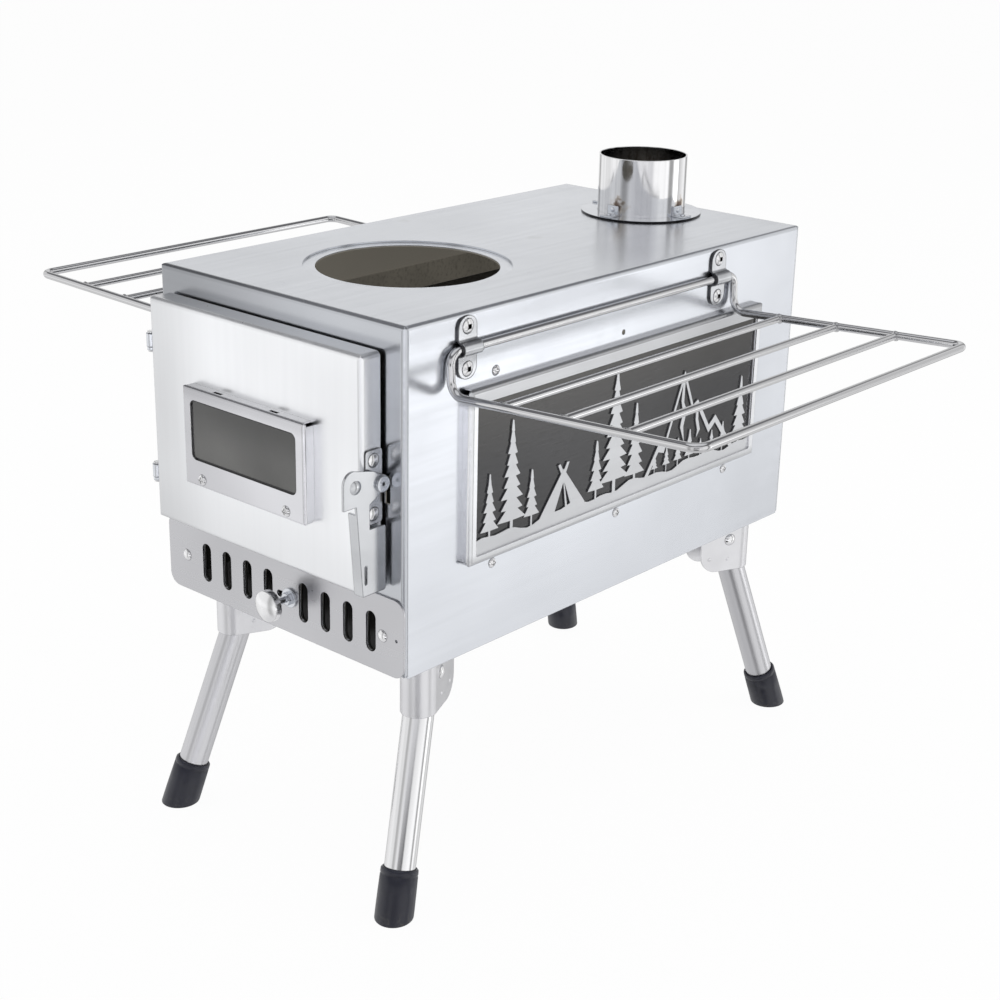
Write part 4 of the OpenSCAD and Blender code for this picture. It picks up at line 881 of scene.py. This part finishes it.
class STOVE_OT_fittings(bpy.types.Operator):
    """Finish the brackets, hinges, latch, saddles, knob, rivets and screws"""

    bl_idname = "stove.fittings"
    bl_label = "Fittings"

    def execute(self, context):
        finish = context.scene.stove_finish
        rough = finish.sheet_roughness
        # Painted shade: edge gains below 1 paint the edges of the brackets, fittings, saddles, latch,
        # knob and rivets darker.
        dress(satin("bracket sheet", finish.bracket_colour, rough + 0.05, (90.0, 90.0, 500.0),
                    cloud=0.04, size=0.02, painted_edge_gain=0.5, grain=0.0, relief=0.04),
              *[f"{leg}_bracket" for leg in LEG_NAMES])
        pressed = {"cloud": 0.06, "painted_edge_gain": 0.2, "edge_width": 1.4, "grain": 0.02, "relief": 0.05}
        dress(satin("fitting sheet", finish.sheet_colour, rough - 0.10, BRUSHED_SMALL, size=0.015,
                    **pressed),
              "flue_tabs", "hinge_lugs", "door_barrels", "latch_pivot", "air_stud")
        # Painted shade: the saddles' and latch plate's faces side-on to x are painted near black.
        rim_shade = (ACROSS, (0.10, 0.10, 0.105))
        dress(satin("saddle sheet", finish.saddle_colour, rough - 0.08, BRUSHED_SMALL,
                    cloud=0.08, size=0.010, painted_edge_gain=0.12, edge_width=2.0, rim=rim_shade),
              "right_saddles", "left_saddles")
        dress(satin("latch plate sheet", finish.saddle_colour, rough - 0.08, BRUSHED_SMALL,
                    cloud=0.06, size=0.020, painted_edge_gain=0.2, rim=rim_shade), "latch_plate")
        dress(satin("latch sheet", finish.saddle_colour, rough - 0.10, BRUSHED_SMALL, size=0.020,
                    **pressed), "latch_lever")
        dress(satin("turned knob", finish.polish_colour, 0.16, (400.0, 60.0, 400.0), cloud=0.04,
                    size=0.012, painted_edge_gain=0.35, edge_width=1.6, grain=0.0, relief=0.04), "air_knob")
        head = {"size": 0.006, "painted_edge_gain": 0.15, "grain": 0.0, "relief": 0.05}
        dress(satin("rivet heads", finish.polish_colour, 0.14, TURNED, cloud=0.06, edge_width=1.4,
                    **head),
              "vent_rivets", "hinge_pins", "window_screws", "leg_pivots", "door_screws",
              "latch_rivets")
        # Painted shade: black holes painted on the saddle rivets.
        pierced = [(Vector((0.0, y, z)), Vector((0.2, 0.0014, 0.0014)))
                   for y in SADDLE_Y for z in SADDLE_RIVET_Z]
        dress(satin("pierced rivets", finish.polish_colour, 0.20, TURNED, cloud=0.04, edge_width=1.6,
                    holes=pierced, **head), "saddle_rivets")
        return {"FINISHED"}


class STOVE_OT_inside(bpy.types.Operator):
    """Finish the grate, baffle, rails and the hidden inner plates"""

    bl_idname = "stove.inside"
    bl_label = "Inside"

    def execute(self, context):
        # Painted glow on the baffle, grate and retainers, and painted shade near black low down on all
        # these parts.
        dress(sooty("sooted steel", glow=0.15), "smoke_baffle", "fire_grate", "window_retainers")
        dress(sooty("heat-darkened steel"), "slider_rails", "door_liner")
        return {"FINISHED"}


class STOVE_OT_ropes(bpy.types.Operator):
    """Lay the braided ropes round the door opening, the door pane and the side panes"""

    bl_idname = "stove.ropes"
    bl_label = "Ropes"

    def execute(self, context):
        ropes = context.scene.stove_ropes
        cover = rope_cover("braided glass fibre", 0.0011)
        tape = rope_cover("woven tape", 0.0008)

        build = bmesh.new()
        braided_loop(build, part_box("door_gasket"), "Y", ropes.door_rope_width, 0.0075,
                     ropes.strand_pitch, ropes.braid_relief, 0.0007, around=18)
        rope = piece("door_rope", build, "door", cover)
        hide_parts("door_gasket")

        build = bmesh.new()
        braided_loop(build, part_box("door_glass_gasket"), "Y", 0.0024, 0.004,
                     ropes.strand_pitch / 2, ropes.braid_relief, 0.0006)
        rope = piece("door_pane_rope", build, "door", tape)
        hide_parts("door_glass_gasket")

        build = bmesh.new()
        for side in (-1, 1):
            low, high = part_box("window_gaskets")
            low.x, high.x = (0.1020, 0.1028) if side > 0 else (-0.1028, -0.1020)
            braided_loop(build, (low, high), "X", ropes.pane_tape_width, 0.003,
                         ropes.strand_pitch / 2, ropes.braid_relief, 0.0009, around=10)
        bmesh.ops.recalc_face_normals(build, faces=build.faces)
        rope = piece("side_pane_tapes", build, "stove_body", tape)
        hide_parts("window_gaskets")
        return {"FINISHED"}


class STOVE_OT_feet(bpy.types.Operator):
    """Mould the rubber foot caps, cut flat where they stand"""

    bl_idname = "stove.feet"
    bl_label = "Foot caps"

    def execute(self, context):
        trim = context.scene.stove_trim
        rubber = foot_rubber("foot rubber")
        tube_r, wall = 0.00951, trim.cap_radius
        for leg in LEG_NAMES:
            pivot, down = leg_place(leg)
            run = LEG_PIVOT_Z / -down.z
            turn = (-down).to_track_quat("Z", "Y").to_matrix().to_4x4()
            stand = Matrix.Translation(pivot + down * run) @ turn
            top = trim.cap_length
            profile = [(tube_r, 0.006), (tube_r, top - 0.0010), (tube_r + 0.0004, top - 0.0002),
                       (tube_r + 0.0010, top), (wall - 0.0010, top - 0.0002),
                       (wall - 0.0004, top - 0.0009), (wall - 0.0003, top - 0.0032),
                       (wall - 0.0008, top - 0.0036), (wall - 0.0008, top - 0.0042),
                       (wall - 0.0003, top - 0.0046), (wall - 0.0001, top * 0.5),
                       (wall, 0.006), (wall, -0.006)]
            build = bmesh.new()
            lathe(build, profile, stand, turns=56)
            cut = bmesh.ops.bisect_plane(
                build, geom=build.verts[:] + build.edges[:] + build.faces[:], dist=1e-6,
                plane_co=(0.0, 0.0, 0.0), plane_no=(0.0, 0.0, 1.0), clear_inner=True)
            rim = [e for e in cut["geom_cut"] if isinstance(e, bmesh.types.BMEdge)]
            bmesh.ops.contextual_create(build, geom=rim)
            rim = [e for e in build.edges if all(v.co.z < 1e-6 for v in e.verts)]
            bmesh.ops.bevel(build, geom=rim, offset=0.0009, segments=3, profile=0.6,
                            affect="EDGES")
            bmesh.ops.recalc_face_normals(build, faces=build.faces)
            cap = piece(f"{leg}_foot", build, f"{leg}_leg", rubber)
            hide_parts(f"{leg}_cap")
        return {"FINISHED"}


# ---------- studio ----------


def aim(azimuth, elevation, roll):
    """Turn of a camera that looks at the stove from azimuth and elevation."""
    a, e, r = math.radians(azimuth), math.radians(elevation), math.radians(roll)
    back = Vector((math.sin(a) * math.cos(e), -math.cos(a) * math.cos(e), math.sin(e)))
    right = Vector((0, 0, 1)).cross(back).normalized()
    up = back.cross(right)
    across = right * math.cos(r) + up * math.sin(r)
    above = up * math.cos(r) - right * math.sin(r)
    return Matrix((across, above, back)).transposed().to_4x4()


def softbox(name, spot, target, size, power):
    """An area lamp at spot that faces target."""
    lamp = bpy.data.lights.new(name, "AREA")
    lamp.shape, lamp.size, lamp.size_y = "RECTANGLE", size[0], size[1]
    lamp.energy = power
    made = bpy.data.objects.new(name, lamp)
    made.location = spot
    made.rotation_mode = "QUATERNION"
    made.rotation_quaternion = (Vector(spot) - Vector(target)).to_track_quat("Z", "Y")
    made.visible_glossy = False
    bpy.context.scene.collection.objects.link(made)
    return made


def seen(tree):
    """1 for camera and see-through rays, and 1 for mirrored rays."""
    path = add(tree, "ShaderNodeLightPath").outputs
    straight = maths(tree, "ADD", path["Is Camera Ray"], path["Is Transmission Ray"], clamp=True)
    return straight, path["Is Glossy Ray"]


# Brightness of the studio's walls in reflections, by the angle right of the lens in degrees.
WALLS = (
    (-180, 0.91), (-160, 0.82), (-152, 0.35), (-142, 0.90), (-100, 1.0), (-64, 0.96), (-54, 0.50),
    (-42, 0.60), (-34, 1.0), (-22, 1.0), (-17, 0.03), (11, 0.03), (16, 1.0), (66, 1.1), (71, 0.38),
    (80, 0.40), (86, 1.15), (94, 1.15), (100, 1.12), (106, 0.70), (116, 0.90), (134, 1.0),
    (146, 0.30), (160, 0.74), (180, 0.91),
)


def room_light(brightness):
    """White to the camera; in reflections bright walls with dark flags between them."""
    world = bpy.data.worlds.new("studio")
    world.use_nodes = True
    tree = world.node_tree
    tree.nodes.clear()
    straight, glossy = seen(tree)
    way = add(tree, "ShaderNodeTexCoord").outputs["Generated"]
    turn = math.radians(FLAGS_TURN)
    ahead = dot(tree, way, (math.sin(turn), -math.cos(turn), 0.0))
    right = dot(tree, way, (math.cos(turn), math.sin(turn), 0.0))
    angle = ranged(tree, maths(tree, "ARCTAN2", right, ahead), -math.pi, math.pi)
    ramp = add(tree, "ShaderNodeValToRGB", {"Fac": angle})
    stops = ramp.color_ramp.elements
    for i, (degrees, level) in enumerate(WALLS):
        spot = degrees / 360 + 0.5
        stop = stops[i] if i < 1 else stops.new(spot) if i < len(WALLS) - 1 else stops[-1]
        stop.position = spot
        stop.color = (level, level, level, 1.0)
    rise = height_of(tree, way)
    near = times(tree, eased(tree, ahead, 0.86, 0.94),
                 eased(tree, rise, 0.0, -0.12))
    cornice = eased(tree, rise, 0.50, 0.60)
    card = blended(tree, eased(tree, rise, -0.37, -0.30), (0.42, 0.42, 0.44, 1.0),
                   (1.90, 1.90, 1.94, 1.0))
    card = blended(tree, ranged(tree, rise, -0.26, -0.22), card, (0.80, 0.80, 0.82, 1.0))
    front = blended(tree, near, ramp.outputs["Color"], card)
    climb = times(tree, eased(tree, rise, -0.38, -0.24),
                  ranged(tree, rise, -0.02, -0.10))
    beside = times(tree, ranged(tree, angle, 86 / 360 + 0.5, 91 / 360 + 0.5),
                   ranged(tree, angle, 105 / 360 + 0.5, 98 / 360 + 0.5))
    gain = ranged(tree, beside, 0.0, 1.0, 0.14, 0.90)
    glow = maths(tree, "MULTIPLY_ADD", climb, gain, 1.0)
    front = vectors(tree, "SCALE", front, glow)
    above = times(tree, ranged(tree, ahead, 0.70, 0.85),
                  eased(tree, rise, 0.06, 0.16))
    front = blended(tree, above, front, (0.80, 0.80, 0.82, 1.0))
    walls = blended(tree, cornice, front, (0.20, 0.20, 0.21, 1.0))
    ceiling = eased(tree, rise, 0.76, 0.86)
    walls = blended(tree, ceiling, walls, (0.92, 0.93, 0.95, 1.0))
    skirt = eased(tree, rise, -0.55, -0.85)
    walls = blended(tree, skirt, walls, (0.80, 0.80, 0.81, 1.0))
    shine = blended(tree, glossy, (brightness, brightness, brightness, 1.0), walls)
    colour = blended(tree, straight, shine, (1.0, 1.0, 1.0, 1.0))
    back = add(tree, "ShaderNodeBackground", {"Color": colour, "Strength": 1.0})
    add(tree, "ShaderNodeOutputWorld", {"Surface": back.outputs["Background"]})
    return world


class STOVE_OT_studio(bpy.types.Operator):
    """Set up the pale floor, the softboxes, the room and the camera"""

    bl_idname = "stove.studio"
    bl_label = "Studio"

    def execute(self, context):
        studio = context.scene.stove_studio
        build = bmesh.new()
        corners = [build.verts.new((x, y, -0.0002)) for x, y in ((-6, -6), (6, -6), (6, 6), (-6, 6))]
        build.faces.new(corners)
        mesh = bpy.data.meshes.new("floor")
        build.to_mesh(mesh)
        build.free()
        mat = bpy.data.materials.new("pale floor")
        mat.use_nodes = True
        tree = mat.node_tree
        tree.nodes.clear()
        straight, glossy = seen(tree)
        share = times(tree, straight, 0.96)
        matt = add(tree, "ShaderNodeBsdfDiffuse", {"Color": (0.95, 0.95, 0.95, 1.0)})
        glow = add(tree, "ShaderNodeEmission", {"Color": (1.0, 1.0, 1.0, 1.0), "Strength": 1.0})
        mixed = add(tree, "ShaderNodeMixShader", {
            0: share, 1: matt.outputs["BSDF"], 2: glow.outputs["Emission"]})
        clear = add(tree, "ShaderNodeBsdfTransparent")
        passed = add(tree, "ShaderNodeMixShader", {
            0: glossy, 1: mixed.outputs["Shader"], 2: clear.outputs["BSDF"]})
        add(tree, "ShaderNodeOutputMaterial", {"Surface": passed.outputs["Shader"]})
        mesh.materials.append(mat)
        floor = bpy.data.objects.new("floor", mesh)
        context.scene.collection.objects.link(floor)

        middle = (0.0, 0.0, 0.2)
        softbox("overhead softbox", (-0.2, 0.1, 2.2), middle, (2.2, 2.2), studio.top_power)
        softbox("rear right softbox", (1.7, 1.3, 0.9), middle, (1.4, 1.0), studio.side_power)
        softbox("front left softbox", (-1.2, -1.9, 1.1), middle, (1.2, 1.2), studio.front_power)
        context.scene.world = room_light(studio.room)

        lens = bpy.data.cameras.new("camera")
        lens.sensor_fit, lens.sensor_width, lens.lens = "HORIZONTAL", 36.0, studio.lens
        lens.clip_start, lens.clip_end = 0.05, 30.0
        camera = bpy.data.objects.new("camera", lens)
        camera.matrix_world = Matrix.Translation(LENS_SPOT) @ aim(LENS_TURN, LENS_RISE, LENS_ROLL)
        context.scene.collection.objects.link(camera)
        context.scene.camera = camera
        context.scene.view_settings.view_transform = "Standard"
        return {"FINISHED"}


# ---------- add-on ----------

OPERATORS = (
    STOVE_OT_sheets, STOVE_OT_front, STOVE_OT_windows, STOVE_OT_tubes, STOVE_OT_shelves,
    STOVE_OT_fittings, STOVE_OT_inside, STOVE_OT_ropes, STOVE_OT_feet, STOVE_OT_studio,
)


class STOVE_PT_panel(bpy.types.Panel):
    """Settings and pieces of the tent wood stove"""

    bl_idname = "STOVE_PT_panel"
    bl_label = "Tent wood stove"
    bl_space_type = "VIEW_3D"
    bl_region_type = "UI"
    bl_category = "Stove"

    def draw(self, context):
        layout = self.layout
        for name, group_class in SETTINGS.items():
            box = layout.box()
            settings = getattr(context.scene, name)
            for key in group_class.__annotations__:
                box.prop(settings, key)
        for operator in OPERATORS:
            layout.operator(operator.bl_idname)


def register():
    for name, group_class in SETTINGS.items():
        bpy.utils.register_class(group_class)
        setattr(bpy.types.Scene, name, bpy.props.PointerProperty(type=group_class))
    for operator in OPERATORS:
        bpy.utils.register_class(operator)
    bpy.utils.register_class(STOVE_PT_panel)


def unregister():
    bpy.utils.unregister_class(STOVE_PT_panel)
    for operator in reversed(OPERATORS):
        bpy.utils.unregister_class(operator)
    for name, group_class in reversed(SETTINGS.items()):
        delattr(bpy.types.Scene, name)
        bpy.utils.unregister_class(group_class)


def main():
    register()
    shared_effects()
    for operator in OPERATORS:
        family, name = operator.bl_idname.split(".")
        getattr(getattr(bpy.ops, family), name)()


if __name__ == "__main__":
    main()
